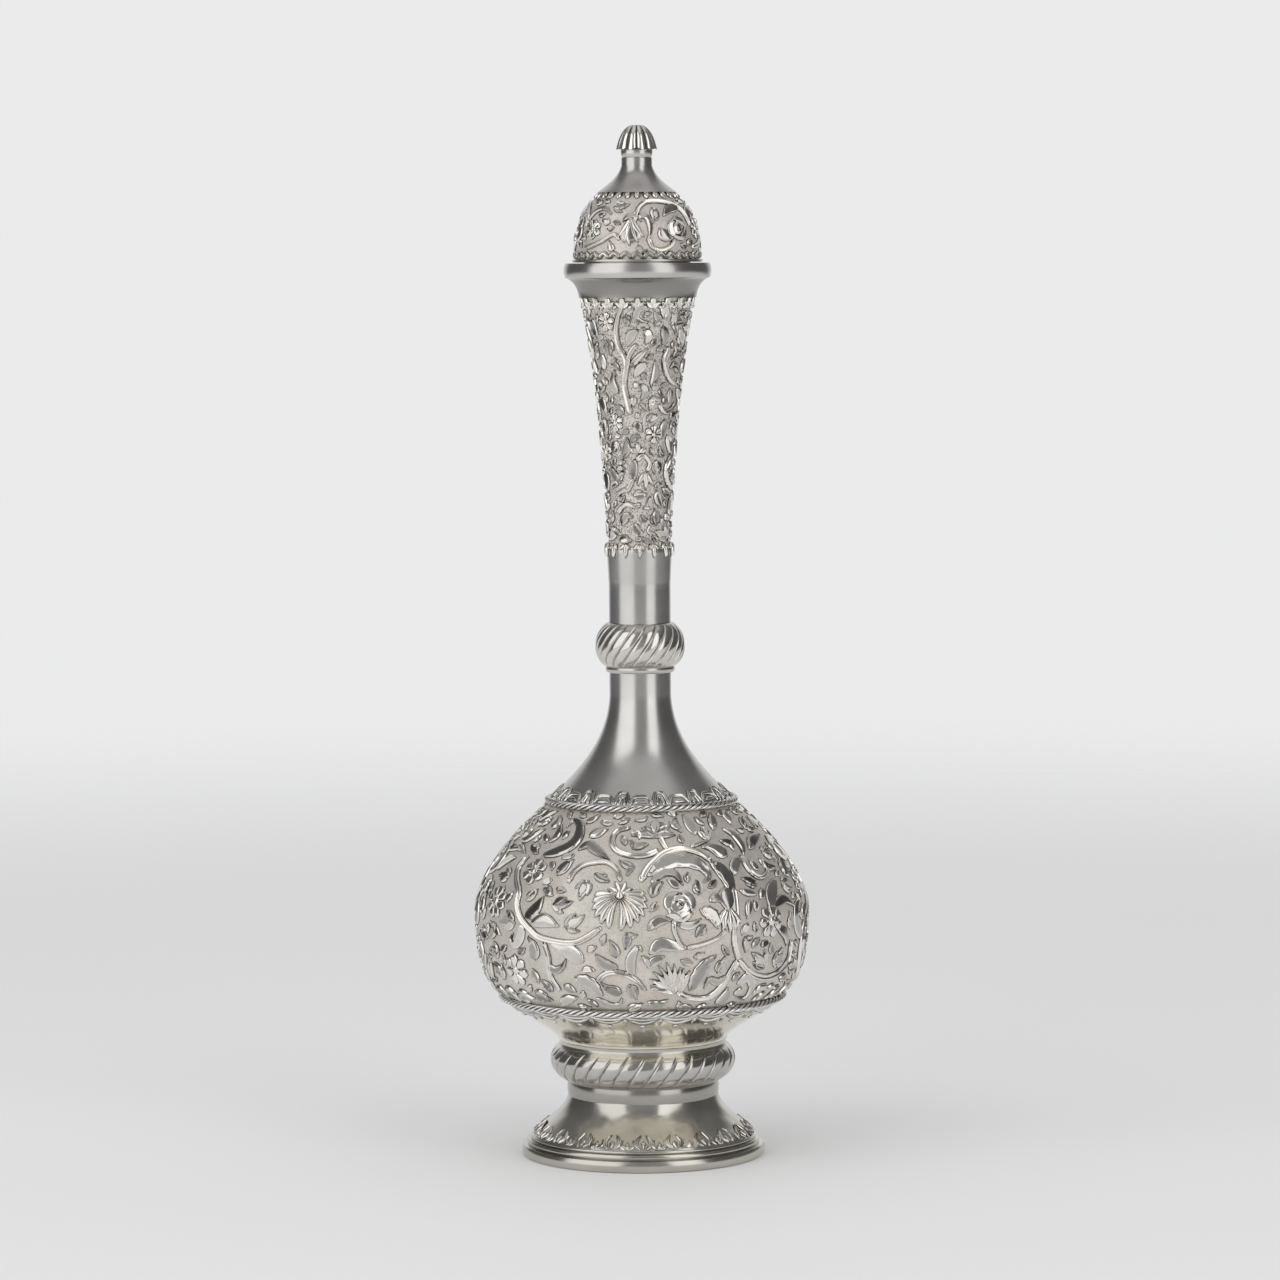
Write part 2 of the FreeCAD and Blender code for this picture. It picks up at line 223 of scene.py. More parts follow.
def arc(start, end, rise, steps=10):
    """A shallow arc between two (radius, height) ends, standing out by rise."""
    t = np.linspace(0, 1, steps + 1)
    r = start[0] + (end[0] - start[0]) * t
    z = start[1] + (end[1] - start[1]) * t
    return np.column_stack((r + 4 * rise * t * (1 - t), z))


def turned(name, outline, steps=TURN_STEPS):
    """A closed outline of (radius, height) points, turned round the upright axis."""
    outline = [tuple(p) for p in outline]
    kept = [p for i, p in enumerate(outline) if math.dist(p, outline[i - 1]) > 1e-7]
    bpy.ops.object.select_all(action="DESELECT")
    bpy.ops.mesh.primitive_circle_add(vertices=len(kept))
    piece = bpy.context.object
    piece.name = name
    for vertex, (radius, height) in zip(piece.data.vertices, kept):
        vertex.co = (radius, 0, height)
    lathe = piece.modifiers.new("lathe", "SCREW")
    lathe.angle = math.tau
    lathe.steps = lathe.render_steps = steps
    lathe.use_merge_vertices = True
    lathe.merge_threshold = 1e-6
    bpy.ops.object.modifier_apply(modifier="lathe")
    bpy.ops.object.mode_set(mode="EDIT")
    bpy.ops.mesh.select_all(action="SELECT")
    if min(radius for radius, height in kept) < 1e-6:
        bpy.ops.mesh.remove_doubles(threshold=1e-6)
        bpy.ops.mesh.delete_loose(use_verts=True, use_edges=True, use_faces=False)
        bpy.ops.mesh.select_all(action="SELECT")
    bpy.ops.mesh.normals_make_consistent(inside=False)
    bpy.ops.object.mode_set(mode="OBJECT")
    bpy.ops.object.shade_smooth_by_angle(angle=math.radians(WALL_SMOOTHING))
    return piece


def closed_wall(outside, wall=WALL):
    """The closed outline of a sheet wall whose outside is the given points."""
    return np.vstack((outside, moved_in(outside, wall)[::-1]))


def points_of(mesh):
    """The places of a mesh's points, one row each."""
    points = np.zeros(len(mesh.vertices) * 3)
    mesh.vertices.foreach_get("co", points)
    return points.reshape(-1, 3)


def move_points(mesh, points):
    """Put a mesh's points at new places."""
    mesh.vertices.foreach_set("co", points.ravel())
    mesh.update()


def store(mesh, name, values):
    """Keep a value for each point of a mesh, for the finish."""
    attribute = mesh.attributes.new(name, "FLOAT", "POINT")
    values = np.broadcast_to(np.asarray(values, np.float32), len(mesh.vertices))
    attribute.data.foreach_set("value", np.ascontiguousarray(values))


def hand_raised(piece, wave, depth):
    """Give a wall the slight unevenness that hammering leaves in sheet."""
    clouds = bpy.data.textures.new(piece.name + "_hammering", "CLOUDS")
    clouds.noise_scale = wave
    clouds.noise_depth = 1
    select_only(piece)
    displace = piece.modifiers.new("hammering", "DISPLACE")
    displace.texture = clouds
    displace.texture_coords = "LOCAL"
    displace.strength = depth
    displace.mid_level = 0.5
    bpy.ops.object.modifier_apply(modifier="hammering")


def dress(piece, material, body, slot, *nodes):
    """Give a piece its finish and its body, in place of the nodes it stands for."""
    piece.data.materials.clear()
    piece.data.materials.append(material)
    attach(piece, body)
    if nodes:
        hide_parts(*nodes)
    return piece


class Finish:
    """A small helper that wires the nodes of one material."""

    def __init__(self, name):
        self.material = bpy.data.materials.new(name)
        self.material.use_nodes = True
        self.nodes = self.material.node_tree.nodes
        self.links = self.material.node_tree.links
        self.shader = self.nodes["Principled BSDF"]
        self.place = self.nodes.new("ShaderNodeTexCoord").outputs["Object"]

    def noise(self, scale, detail=3.0, stretch=None):
        """Soft noise at a scale per metre, stretched along an axis if asked."""
        node = self.nodes.new("ShaderNodeTexNoise")
        node.inputs["Scale"].default_value = scale
        node.inputs["Detail"].default_value = detail
        self.links.new(self.stretched(stretch), node.inputs["Vector"])
        return node.outputs["Fac"]

    def dots(self, scale):
        """Distance to the nearest of scattered points: the marks of a punch."""
        node = self.nodes.new("ShaderNodeTexVoronoi")
        node.inputs["Scale"].default_value = scale
        self.links.new(self.place, node.inputs["Vector"])
        return node.outputs["Distance"]

    def stretched(self, stretch):
        """Object coordinates, squeezed by a factor for each axis if asked."""
        if stretch is None:
            return self.place
        node = self.nodes.new("ShaderNodeMapping")
        node.inputs["Scale"].default_value = stretch
        self.links.new(self.place, node.inputs["Vector"])
        return node.outputs["Vector"]

    def attribute(self, name):
        """A value stored on the mesh."""
        node = self.nodes.new("ShaderNodeAttribute")
        node.attribute_name = name
        return node.outputs["Fac"]

    def ramp(self, value, low, high, at=(0.0, 1.0)):
        """Map a value to a range between two places."""
        node = self.nodes.new("ShaderNodeMapRange")
        node.inputs["From Min"].default_value = at[0]
        node.inputs["From Max"].default_value = at[1]
        node.inputs["To Min"].default_value = low
        node.inputs["To Max"].default_value = high
        self.links.new(value, node.inputs["Value"])
        return node.outputs["Result"]

    def mix(self, factor, first, second):
        """A colour between two, by a factor. Either may be the output of a node."""
        node = self.nodes.new("ShaderNodeMix")
        node.data_type = "RGBA"
        self.links.new(factor, node.inputs["Factor"])
        for socket, colour in ((node.inputs["A"], first), (node.inputs["B"], second)):
            if isinstance(colour, tuple):
                socket.default_value = colour + (1,)
            else:
                self.links.new(colour, socket)
        return node.outputs["Result"]

    def bump(self, height, distance, strength=1.0, under=None):
        """Fine relief from a height, over another bump if given."""
        node = self.nodes.new("ShaderNodeBump")
        node.inputs["Strength"].default_value = strength
        node.inputs["Distance"].default_value = distance
        self.links.new(height, node.inputs["Height"])
        if under is not None:
            self.links.new(under, node.inputs["Normal"])
        return node.outputs["Normal"]

    def done(self, colour, roughness, normal=None, metallic=1.0):
        """Join colour, roughness and normal to a metal shader."""
        self.shader.inputs["Metallic"].default_value = metallic
        self.links.new(colour, self.shader.inputs["Base Color"])
        self.links.new(roughness, self.shader.inputs["Roughness"])
        if normal is not None:
            self.links.new(normal, self.shader.inputs["Normal"])
        return self.material


def polished_silver(name, dull, clean, rough=(0.235, 0.27)):
    """Plain walls: polished, a little clouded, with fine turning and rubbing marks."""
    finish = Finish(name)
    cloud = finish.noise(38, 4)
    bloom = finish.noise(150, 4)
    colour = finish.mix(finish.ramp(cloud, 0, 1, (0.35, 0.68)), dull, clean)
    # Where a piece stores a value, its colour is darkened towards grey: painted shade on walls
    # that would otherwise mirror the pale floor.
    colour = finish.mix(finish.attribute("painted_shade"), colour, (0.22, 0.215, 0.20))
    rough = finish.ramp(bloom, *rough, (0.3, 0.72))
    lines = finish.noise(55, 2, (1.0, 1.0, 30.0))
    return finish.done(colour, rough, finish.bump(lines, 0.00002, 0.15))


def matted_silver(name, grain, rough=(0.42, 0.62)):
    """The ground between the ornament: white, covered with the marks of a round punch."""
    finish = Finish(name)
    cloud = finish.noise(120, 4)
    tinge = finish.ramp(finish.noise(42, 2), 0, 1, (0.42, 0.58))
    tarnished = finish.mix(tinge, (0.66, 0.605, 0.555), (0.605, 0.60, 0.53))
    colour = finish.mix(finish.ramp(cloud, 0, 1, (0.3, 0.7)), tarnished, (0.76, 0.72, 0.66))
    marks = finish.dots(1500)
    fine_marks = finish.noise(4200, 2)
    dark = finish.ramp(marks, 1 - grain, 1.0, (0.10, 0.45))
    shade = finish.nodes.new("ShaderNodeMix")
    shade.data_type = "RGBA"
    shade.blend_type = "MULTIPLY"
    shade.inputs["Factor"].default_value = 1.0
    finish.links.new(colour, shade.inputs["A"])
    finish.links.new(dark, shade.inputs["B"])
    rough = finish.ramp(fine_marks, *rough, (0.3, 0.7))
    coarse = finish.bump(marks, 0.00045 * grain, 0.9)
    fine = finish.bump(fine_marks, 0.00004, 0.5, coarse)
    return finish.done(shade.outputs["Result"], rough, fine, 0.7)


def chased_silver():
    """The raised ornament: bright edges as painted highlights, tops greyed by a painted dark
    reflection, and painted contact shade, with some patina, where it meets the ground.
    """
    finish = Finish("chased_silver")
    # Painted contact shade, with some patina: low lift, on the sides and at the foot of the
    # raised work, darkens to near black.
    unshaded = finish.ramp(finish.attribute("lift"), 0, 1, (0.30, 0.85))
    cloud = finish.noise(300, 3)
    bright = finish.mix(finish.ramp(cloud, 0, 1, (0.35, 0.65)),
                        (0.90, 0.87, 0.81), (0.98, 0.955, 0.905))
    # Painted dark reflection on the polished tops, by the stored shade; the rims keep the
    # bright colour as a painted highlight.
    grey = finish.mix(finish.attribute("shade"), bright, (0.21, 0.205, 0.195))
    colour = finish.mix(unshaded, (0.07, 0.065, 0.06), grey)
    rough = finish.ramp(cloud, 0.12, 0.22, (0.3, 0.7))
    ripple = finish.noise(700, 2)
    return finish.done(colour, rough, finish.bump(ripple, 0.00003, 0.5))


def rope_silver():
    """Twisted wire, bright outside, with painted shade between its strands."""
    finish = Finish("rope_silver")
    cloud = finish.noise(420, 3)
    bright = finish.mix(finish.ramp(cloud, 0, 1, (0.35, 0.65)),
                        (0.78, 0.76, 0.73), (0.90, 0.89, 0.87))
    # Painted shade between the strands, where they lie near the rope's core.
    unshaded = finish.ramp(finish.attribute("lift"), 0, 1, (0.66, 0.90))
    colour = finish.mix(unshaded, (0.05, 0.05, 0.045), bright)
    rough = finish.ramp(cloud, 0.16, 0.3, (0.3, 0.7))
    return finish.done(colour, rough, finish.bump(finish.noise(1500, 2), 0.00002, 0.4))


def inner_silver():
    """Unpolished silver inside the lid and neck."""
    finish = Finish("inner_silver")
    cloud = finish.noise(180, 4)
    colour = finish.mix(cloud, (0.52, 0.50, 0.47), (0.68, 0.66, 0.63))
    return finish.done(colour, finish.ramp(cloud, 0.35, 0.55))


def room_light():
    """The world: an even light, a room that metal mirrors, and the backdrop behind."""
    world = bpy.data.worlds.new("studio")
    bpy.context.scene.world = world
    world.use_nodes = True
    nodes, links = world.node_tree.nodes, world.node_tree.links

    def calculated(operation, *values):
        """The result of a sum on numbers or the outputs of other nodes."""
        node = nodes.new("ShaderNodeMath")
        node.operation = operation
        for socket, value in zip(node.inputs, values):
            if isinstance(value, (int, float)):
                socket.default_value = value
            else:
                links.new(value, socket)
        return node.outputs[0]

    def levels(place, stops):
        """A ramp of grey levels, read at a place from 0 to 1."""
        node = nodes.new("ShaderNodeValToRGB")
        links.new(place, node.inputs["Fac"])
        ramp_stops(node, stops)
        return node.outputs

    def chosen(factor, first, second):
        """A shader between two others."""
        node = nodes.new("ShaderNodeMixShader")
        for socket, output in zip(node.inputs, (factor, first, second)):
            links.new(output, socket)
        return node.outputs[0]

    even = nodes["Background"]
    even.inputs["Color"].default_value = (1, 1, 1, 1)
    even.inputs["Strength"].default_value = EVEN_LIGHT
    seen = nodes.new("ShaderNodeBackground")
    seen.inputs["Color"].default_value = (*BACKDROP, 1)
    room = nodes.new("ShaderNodeBackground")
    toward = nodes.new("ShaderNodeSeparateXYZ")
    links.new(nodes.new("ShaderNodeTexCoord").outputs["Generated"], toward.inputs[0])
    away = calculated("MULTIPLY", toward.outputs["Y"], -1.0)
    turn = calculated("ARCTAN2", toward.outputs["X"], away)
    walls = levels(calculated("DIVIDE", calculated("ABSOLUTE", turn), math.pi), ROOM_LEVELS)
    heights = levels(calculated("MULTIPLY_ADD", toward.outputs["Z"], 0.5, 0.5), HEIGHT_LEVELS)
    both = nodes.new("ShaderNodeMix")
    both.data_type = "RGBA"
    links.new(heights["Alpha"], both.inputs["Factor"])
    links.new(walls["Color"], both.inputs["A"])
    links.new(heights["Color"], both.inputs["B"])
    links.new(both.outputs["Result"], room.inputs["Color"])
    path = nodes.new("ShaderNodeLightPath").outputs
    mirrored = calculated("MAXIMUM", path["Is Glossy Ray"], path["Is Transmission Ray"])
    inner = chosen(mirrored, even.outputs[0], room.outputs[0])
    outer = chosen(path["Is Camera Ray"], inner, seen.outputs[0])
    links.new(outer, nodes["World Output"].inputs["Surface"])


def pale_floor():
    """A round pale floor that fades into the backdrop."""
    bpy.ops.mesh.primitive_circle_add(vertices=96, radius=FLOOR_END, fill_type="NGON",
                                      location=(0, 0, -FLOOR_DROP))
    floor = bpy.context.object
    floor.name = "floor"
    paint = bpy.data.materials.new("floor_paint")
    paint.use_nodes = True
    nodes, links = paint.node_tree.nodes, paint.node_tree.links
    shader = nodes["Principled BSDF"]
    shader.inputs["Base Color"].default_value = (*BACKDROP, 1)
    shader.inputs["Roughness"].default_value = 0.7
    far = nodes.new("ShaderNodeVectorMath")
    far.operation = "LENGTH"
    links.new(nodes.new("ShaderNodeTexCoord").outputs["Object"], far.inputs[0])
    fade = nodes.new("ShaderNodeMapRange")
    fade.interpolation_type = "SMOOTHSTEP"
    fade.inputs["From Min"].default_value = FLOOR_START
    fade.inputs["From Max"].default_value = FLOOR_END
    links.new(far.outputs["Value"], fade.inputs["Value"])
    clear_part = nodes.new("ShaderNodeBsdfTransparent")
    blend = nodes.new("ShaderNodeMixShader")
    links.new(fade.outputs["Result"], blend.inputs["Fac"])
    links.new(shader.outputs[0], blend.inputs[1])
    links.new(clear_part.outputs[0], blend.inputs[2])
    links.new(blend.outputs[0], nodes["Material Output"].inputs["Surface"])
    floor.data.materials.append(paint)


def camera_in_front():
    """The camera, where the photograph was taken from."""
    lens = bpy.data.cameras.new("camera")
    lens.sensor_width = SENSOR_WIDTH
    lens.lens = SENSOR_WIDTH * FOCAL_PIXELS / FRAME_PIXELS
    camera = bpy.data.objects.new("camera", lens)
    bpy.context.scene.collection.objects.link(camera)
    place = Matrix.Translation((0, -CAMERA_DISTANCE, CAMERA_HEIGHT))
    tilt = Matrix.Rotation(math.pi / 2 - CAMERA_PITCH, 4, "X")
    roll = Matrix.Rotation(CAMERA_ROLL, 4, "Z")
    camera.matrix_world = place @ tilt @ roll
    bpy.context.scene.camera = camera
    bpy.context.scene.view_settings.view_transform = "Standard"


def studio():
    """Background, floor, lights and camera."""
    room_light()
    pale_floor()
    for light in SOFT_LIGHTS:
        softbox(*light)
    camera_in_front()


def ramp_stops(node, stops):
    """Set the stops of a colour ramp: place, grey level and alpha."""
    elements = node.color_ramp.elements
    while len(elements) < len(stops):
        elements.new(0.5)
    for element, (place, level, alpha) in zip(elements, stops):
        element.position = place
    for element, (place, level, alpha) in zip(elements, stops):
        element.color = (level, level, level, alpha)


def softbox(name, azimuth, distance, size, power):
    """A tall soft light that stands on the floor, seen from the camera's axis."""
    light = bpy.data.lights.new(name, "AREA")
    light.shape = "RECTANGLE"
    light.size, light.size_y = size
    light.energy = power
    lamp = bpy.data.objects.new(name, light)
    bpy.context.scene.collection.objects.link(lamp)
    lamp.visible_camera = False
    turn = math.radians(azimuth)
    lamp.location = (distance * math.sin(turn), -distance * math.cos(turn), size[1] / 2)
    lamp.rotation_euler = (math.pi / 2, 0, turn)


def foot_pieces(silver, bright):
    """The stepped rim, the skirt, the plain band, the knop and the collar."""
    edges = (FOOT_LOW.z,) + FOOT_STEP_TOPS + (FOOT_HIGH.z,)
    outside = np.vstack([
        arc((radius - FOOT_STEP_RISE, low), (radius - FOOT_STEP_RISE, high), FOOT_STEP_RISE, 8)
        for radius, low, high in zip(FOOT_STEP_RADII, edges, edges[1:])
    ])
    inner = [(FOOT_BORE, FOOT_HIGH.z), (FOOT_BORE, FOOT_LOW.z)]
    rim = turned("stepped_foot_rim", list(outside) + inner)
    dress(rim, silver, "vessel", "polished_silver", "foot_rim")

    start, end = (SKIRT_HIGH.x, SKIRT_LOW.z), (BAND_RADIUS, SKIRT_HIGH.z)
    sweep = span(start, end, SKIRT_HANDLES, 48)
    skirt = turned("spun_foot_skirt", closed_wall(sweep))
    hand_raised(skirt, *HAMMERING["skirt"])
    dress(skirt, silver, "vessel", "polished_silver", "foot_skirt")

    bead = arc((BAND_RADIUS, BAND_LOW.z), (BAND_RADIUS, BAND_HIGH.z), BAND_RISE, 12)
    inner = [(BAND_RADIUS - WALL, BAND_HIGH.z), (BAND_RADIUS - WALL, BAND_LOW.z)]
    band = turned("plain_foot_band", list(bead) + inner)
    # Painted shade: the plain band is darkened all over, in place of the darker reflection it
    # would show.
    store(band.data, "painted_shade", 0.45)
    dress(band, silver, "vessel", "polished_silver", "foot_band")

    groove = arc((COLLAR_FOOT_RADIUS, COLLAR_LOW.z), (CUP_FOOT_RADIUS, COLLAR_HIGH.z),
                 -BEAD_RISE, 12)
    inner = [(COLLAR_BORE, COLLAR_HIGH.z), (COLLAR_BORE, COLLAR_LOW.z)]
    collar = turned("grooved_foot_collar", list(groove) + inner)
    dress(collar, silver, "vessel", "polished_silver", "foot_collar")

    outside = bulge((KNOP_FOOT_RADIUS, KNOP_LOW.z), (KNOP_TOP_RADIUS, KNOP_HIGH.z),
                    KNOP_HIGH.x, (0.28, 0.78), 36)
    knop = twisted_ring("twisted_foot_knop", outside, moved_in(outside, KNOP_WALL),
                        lobes=34, per_lobe=16, twist=14, groove=0.42 * MM, swell=0.12 * MM)
    # Painted dark reflection: the knop is greyed all over by the stored shade.
    store(knop.data, "shade", 0.5)
    dress(knop, bright, "vessel", "bright_silver", "foot_knop")
    return sweep


def twisted_ring(name, outside, inside, lobes, per_lobe, twist, groove, swell):
    """A turned ring cut by leaning grooves, with each lobe between them swelling."""
    steps = lobes * per_lobe
    ring = turned(name, list(outside) + list(inside[::-1]), steps)
    low, high = outside[0, 1], outside[-1, 1]
    mesh = ring.data
    place = points_of(mesh)
    radius = np.hypot(place[:, 0], place[:, 1])
    angle = np.arctan2(place[:, 1], place[:, 0])
    share = np.clip((place[:, 2] - low) / (high - low), 0, 1)
    bound = np.interp(place[:, 2], outside[:, 1], outside[:, 0])
    outer = radius > bound - 0.1 * MM
    across = np.mod(angle * lobes / math.tau, 1.0)
    near = np.minimum(across, 1 - across)
    fade = np.sqrt(np.clip(np.sin(math.pi * share), 0, 1))
    cut = groove * np.exp(-(near / 0.07) ** 2) - swell * 4 * across * (1 - across)
    radius = np.where(outer, radius - fade * cut - fade * swell, radius)
    angle = angle + np.where(outer, math.radians(twist) * (share - 0.5), 0)
    place[:, 0] = radius * np.cos(angle)
    place[:, 1] = radius * np.sin(angle)
    move_points(mesh, place)
    # lift is low in the grooves, where the finish paints shade.
    lift = np.where(outer, 1 - 0.65 * np.exp(-(near / 0.05) ** 2) * fade, 1)
    store(mesh, "lift", lift)
    return ring


def rope(name, radius, height, material, node):
    """A rope of strands twisted round each other, bent into a ring."""
    turns = round(math.tau * radius / ROPE_LAY)
    count = turns * 20
    phase = math.tau * turns * np.arange(count) / count
    around = math.tau * np.arange(count) / count
    strand_radius, offset = 0.42 * ROPE_WIRE, 0.60 * ROPE_WIRE
    reach = radius + offset * np.cos(phase)
    points = np.column_stack((reach * np.cos(around), reach * np.sin(around),
                              height + offset * np.sin(phase)))
    curve = bpy.data.curves.new(name, "CURVE")
    curve.dimensions = "3D"
    curve.bevel_depth = strand_radius
    curve.bevel_resolution = 2
    line = curve.splines.new("POLY")
    line.points.add(count - 1)
    line.points.foreach_set("co", np.column_stack((points, np.ones(count))).ravel())
    line.use_cyclic_u = True
    strand = bpy.data.objects.new(name, curve)
    bpy.context.scene.collection.objects.link(strand)
    select_only(strand)
    bpy.ops.object.convert(target="MESH")
    strand = bpy.context.object
    place = points_of(strand.data)
    away = np.hypot(np.hypot(place[:, 0], place[:, 1]) - radius, place[:, 2] - height)
    # lift grows away from the rope's core; the finish paints shade where it is low.
    store(strand.data, "lift", np.clip(away / (offset + strand_radius), 0, 1))
    bpy.ops.object.shade_smooth()
    dress(strand, material, "vessel", "bright_silver", node)
    for twin in range(1, ROPE_STRANDS):
        copy = strand.copy()
        copy.data = strand.data.copy()
        copy.name = "%s_strand_%d" % (name, twin + 1)
        bpy.context.scene.collection.objects.link(copy)
        copy.data.transform(Matrix.Rotation(math.tau * twin / (ROPE_STRANDS * turns), 4, "Z"))
        dress(copy, material, "vessel", "bright_silver")


def body_pieces(silver, golden, matted, grained):
    """The cup, the two halves of the belly, the cone and the upper neck."""
    cup_ends = (CUP_FOOT_RADIUS, CUP_LOW.z), (CUP_HIGH.x, CUP_HIGH.z)
    outside = span(*cup_ends, CUP_HANDLES, 48)
    inside = moved_in(outside, WALL)
    floor_top = CUP_LOW.z + CUP_FLOOR
    inside = inside[inside[:, 1] > floor_top]
    outline = [(0, CUP_LOW.z)] + list(outside) + list(inside[::-1])
    outline += [(inside[0, 0], floor_top), (0, floor_top)]
    cup = turned("swept_bowl_cup", outline)
    hand_raised(cup, *HAMMERING["cup"])
    dress(cup, golden, "vessel", "polished_silver", "bowl_cup")

    walls = {}
    start, end = (CUP_HIGH.x, BELLY_LOW.z), (BELLY_HIGH.x, BELLY_HIGH.z)
    walls["lower"] = moved_in(span(start, end, LOWER_HANDLES, 64), RELIEF)
    start, end = (UPPER_HIGH.x, UPPER_LOW.z), (CONE_HIGH.x, UPPER_HIGH.z)
    walls["upper"] = moved_in(span(start, end, UPPER_HANDLES, 72), RELIEF)
    for part, node in (("lower", "belly_lower"), ("upper", "belly_upper")):
        outline = closed_wall(walls[part], THIN_WALL)
        belly = turned("matted_belly_" + part, outline, BELLY_STEPS)
        hand_raised(belly, *HAMMERING["belly"])
        dress(belly, matted, "vessel", "matte_silver", node)

    start, end = (CONE_HIGH.x, CONE_LOW.z), (NECK_RADIUS, CONE_TOP)
    cone_line = span(start, end, CONE_HANDLES, 64)
    outside = np.vstack((cone_line, [(NECK_RADIUS, CONE_HIGH.z)]))
    cone = turned("drawn_neck_cone", closed_wall(outside))
    hand_raised(cone, *HAMMERING["cone"])
    dress(cone, silver, "vessel", "polished_silver", "neck_cone")

    start, end = (NECK_RADIUS, FLARE_FOOT), (NECK_HIGH.x, NECK_HIGH.z)
    flare = span(start, end, FLARE_HANDLES, 96)
    plain = np.array([(NECK_RADIUS, NECK_LOW.z), (NECK_RADIUS, FLARE_FOOT - 2 * MM)])
    chased_from = CHASED_NECK_FOOT * MM
    ground = moved_in(flare, RELIEF)
    share = np.clip((flare[:, 1] - chased_from) / (4 * MM), 0, 1)[:, None]
    outside = flare * (1 - share) + ground * share
    below = np.vstack((plain, outside[outside[:, 1] <= chased_from]))
    above = outside[outside[:, 1] >= chased_from]
    below = np.vstack((below, above[:1]))
    lower_tube = turned("plain_upper_neck", closed_wall(below))
    dress(lower_tube, silver, "vessel", "polished_silver", "upper_neck")
    chased = turned("matted_upper_neck", closed_wall(above))
    dress(chased, grained, "vessel", "matte_silver")
    walls["neck"] = outside
    walls["cup"], walls["cone"] = span(*cup_ends, CUP_HANDLES, 48), cone_line
    return walls


def ring_pieces(silver, bright):
    """The step ring and the twisted ring on the neck."""
    edge = STEP_HIGH.x - BEAD_RISE
    bead = arc((edge, STEP_LOW.z), (edge, STEP_HIGH.z), BEAD_RISE, 12)
    bore = NECK_RADIUS + RING_PLAY
    inner = [(bore, STEP_HIGH.z), (bore, STEP_LOW.z)]
    step = turned("neck_step", list(bead) + inner)
    dress(step, silver, "vessel", "polished_silver", "neck_step_ring")
    outside = bulge((RING_FOOT_RADIUS, RING_LOW.z), (RING_TOP_RADIUS, RING_HIGH.z),
                    RING_HIGH.x, (0.20, 0.78), 44)
    inside = np.column_stack((np.full(len(outside), bore), outside[:, 1]))
    ring = twisted_ring("twisted_neck_ring", outside, inside, lobes=22, per_lobe=20,
                        twist=40, groove=0.5 * MM, swell=0.25 * MM)
    # Painted dark reflection: the twisted ring is greyed all over by the stored shade.
    store(ring.data, "shade", 0.35)
    dress(ring, bright, "vessel", "bright_silver", "neck_ring")


def mouth_pieces(silver):
    """The cove and the flat-topped rim."""
    edge = MOUTH_HIGH.x - BEAD_RISE
    cove = span((NECK_HIGH.x, MOUTH_LOW.z), (edge, RIM_UNDERSIDE), COVE_HANDLES, 32)
    face = arc((edge, RIM_UNDERSIDE), (edge, MOUTH_HIGH.z), BEAD_RISE, 14)
    inner = [(MOUTH_BORE, MOUTH_HIGH.z), (MOUTH_BORE, MOUTH_LOW.z)]
    rim = turned("flat_mouth_rim", list(cove) + list(face) + inner)
    # Painted shade under the rim: the cove darkens below the rim's underside.
    height = np.array([vertex.co.z for vertex in rim.data.vertices])
    store(rim.data, "painted_shade", 0.75 * np.clip((RIM_UNDERSIDE - height) / (0.8 * MM), 0, 1))
    dress(rim, silver, "vessel", "polished_silver", "mouth_rim")


def lid_pieces(silver, matted, bright):
    """The bezel, the dome, the spire, the collar and the bud."""
    sleeve = MOUTH_BORE - SLEEVE_PLAY
    inner = sleeve - SLEEVE_WALL
    flange = MOUTH_HIGH.z + SLEEVE_PLAY
    edge, corner = BEZEL_HIGH.x, FLANGE_BEVEL
    outline = [(inner, BEZEL_LOW.z), (sleeve, BEZEL_LOW.z), (sleeve, flange),
               (edge - corner[0], flange), (edge, flange + corner[1]),
               (edge, BEZEL_HIGH.z - corner[1]), (edge - corner[0], BEZEL_HIGH.z),
               (inner, BEZEL_HIGH.z)]
    bezel = turned("lid_seat", outline)
    dress(bezel, silver, "lid", "polished_silver", "lid_bezel")

    start, end = (DOME_HIGH.x, DOME_LOW.z), (SPIRE_HIGH.x, DOME_HIGH.z)
    ground = moved_in(span(start, end, DOME_HANDLES, 64), RELIEF)
    dome = turned("matted_lid_dome", closed_wall(ground, THIN_WALL))
    dress(dome, matted, "lid", "matte_silver", "lid_dome")

    start, end = (SPIRE_HIGH.x, SPIRE_LOW.z), (STEM_RADIUS, STEM_FOOT)
    sweep = span(start, end, SPIRE_HANDLES, 48)
    hollow = moved_in(sweep, WALL)
    outline = list(sweep) + [(STEM_RADIUS, SPIRE_HIGH.z), (SCREW_BORE, SPIRE_HIGH.z)]
    outline += [(SCREW_BORE, STEM_FOOT)] + list(hollow[::-1])
    spire = turned("lid_spire_sweep", outline)
    dress(spire, silver, "lid", "polished_silver", "lid_spire")

    edge = NECKLET_HIGH.x - BEAD_RISE
    bead = arc((edge, NECKLET_LOW.z), (edge, NECKLET_HIGH.z), BEAD_RISE, 14)
    inner = [(SCREW_BORE, NECKLET_HIGH.z), (SCREW_BORE, NECKLET_LOW.z)]
    necklet = turned("stem_collar", list(bead) + inner)
    dress(necklet, silver, "lid", "polished_silver", "finial_collar")
    dress(ribbed_bud(), bright, "lid", "bright_silver", "finial_bud")
    return ground


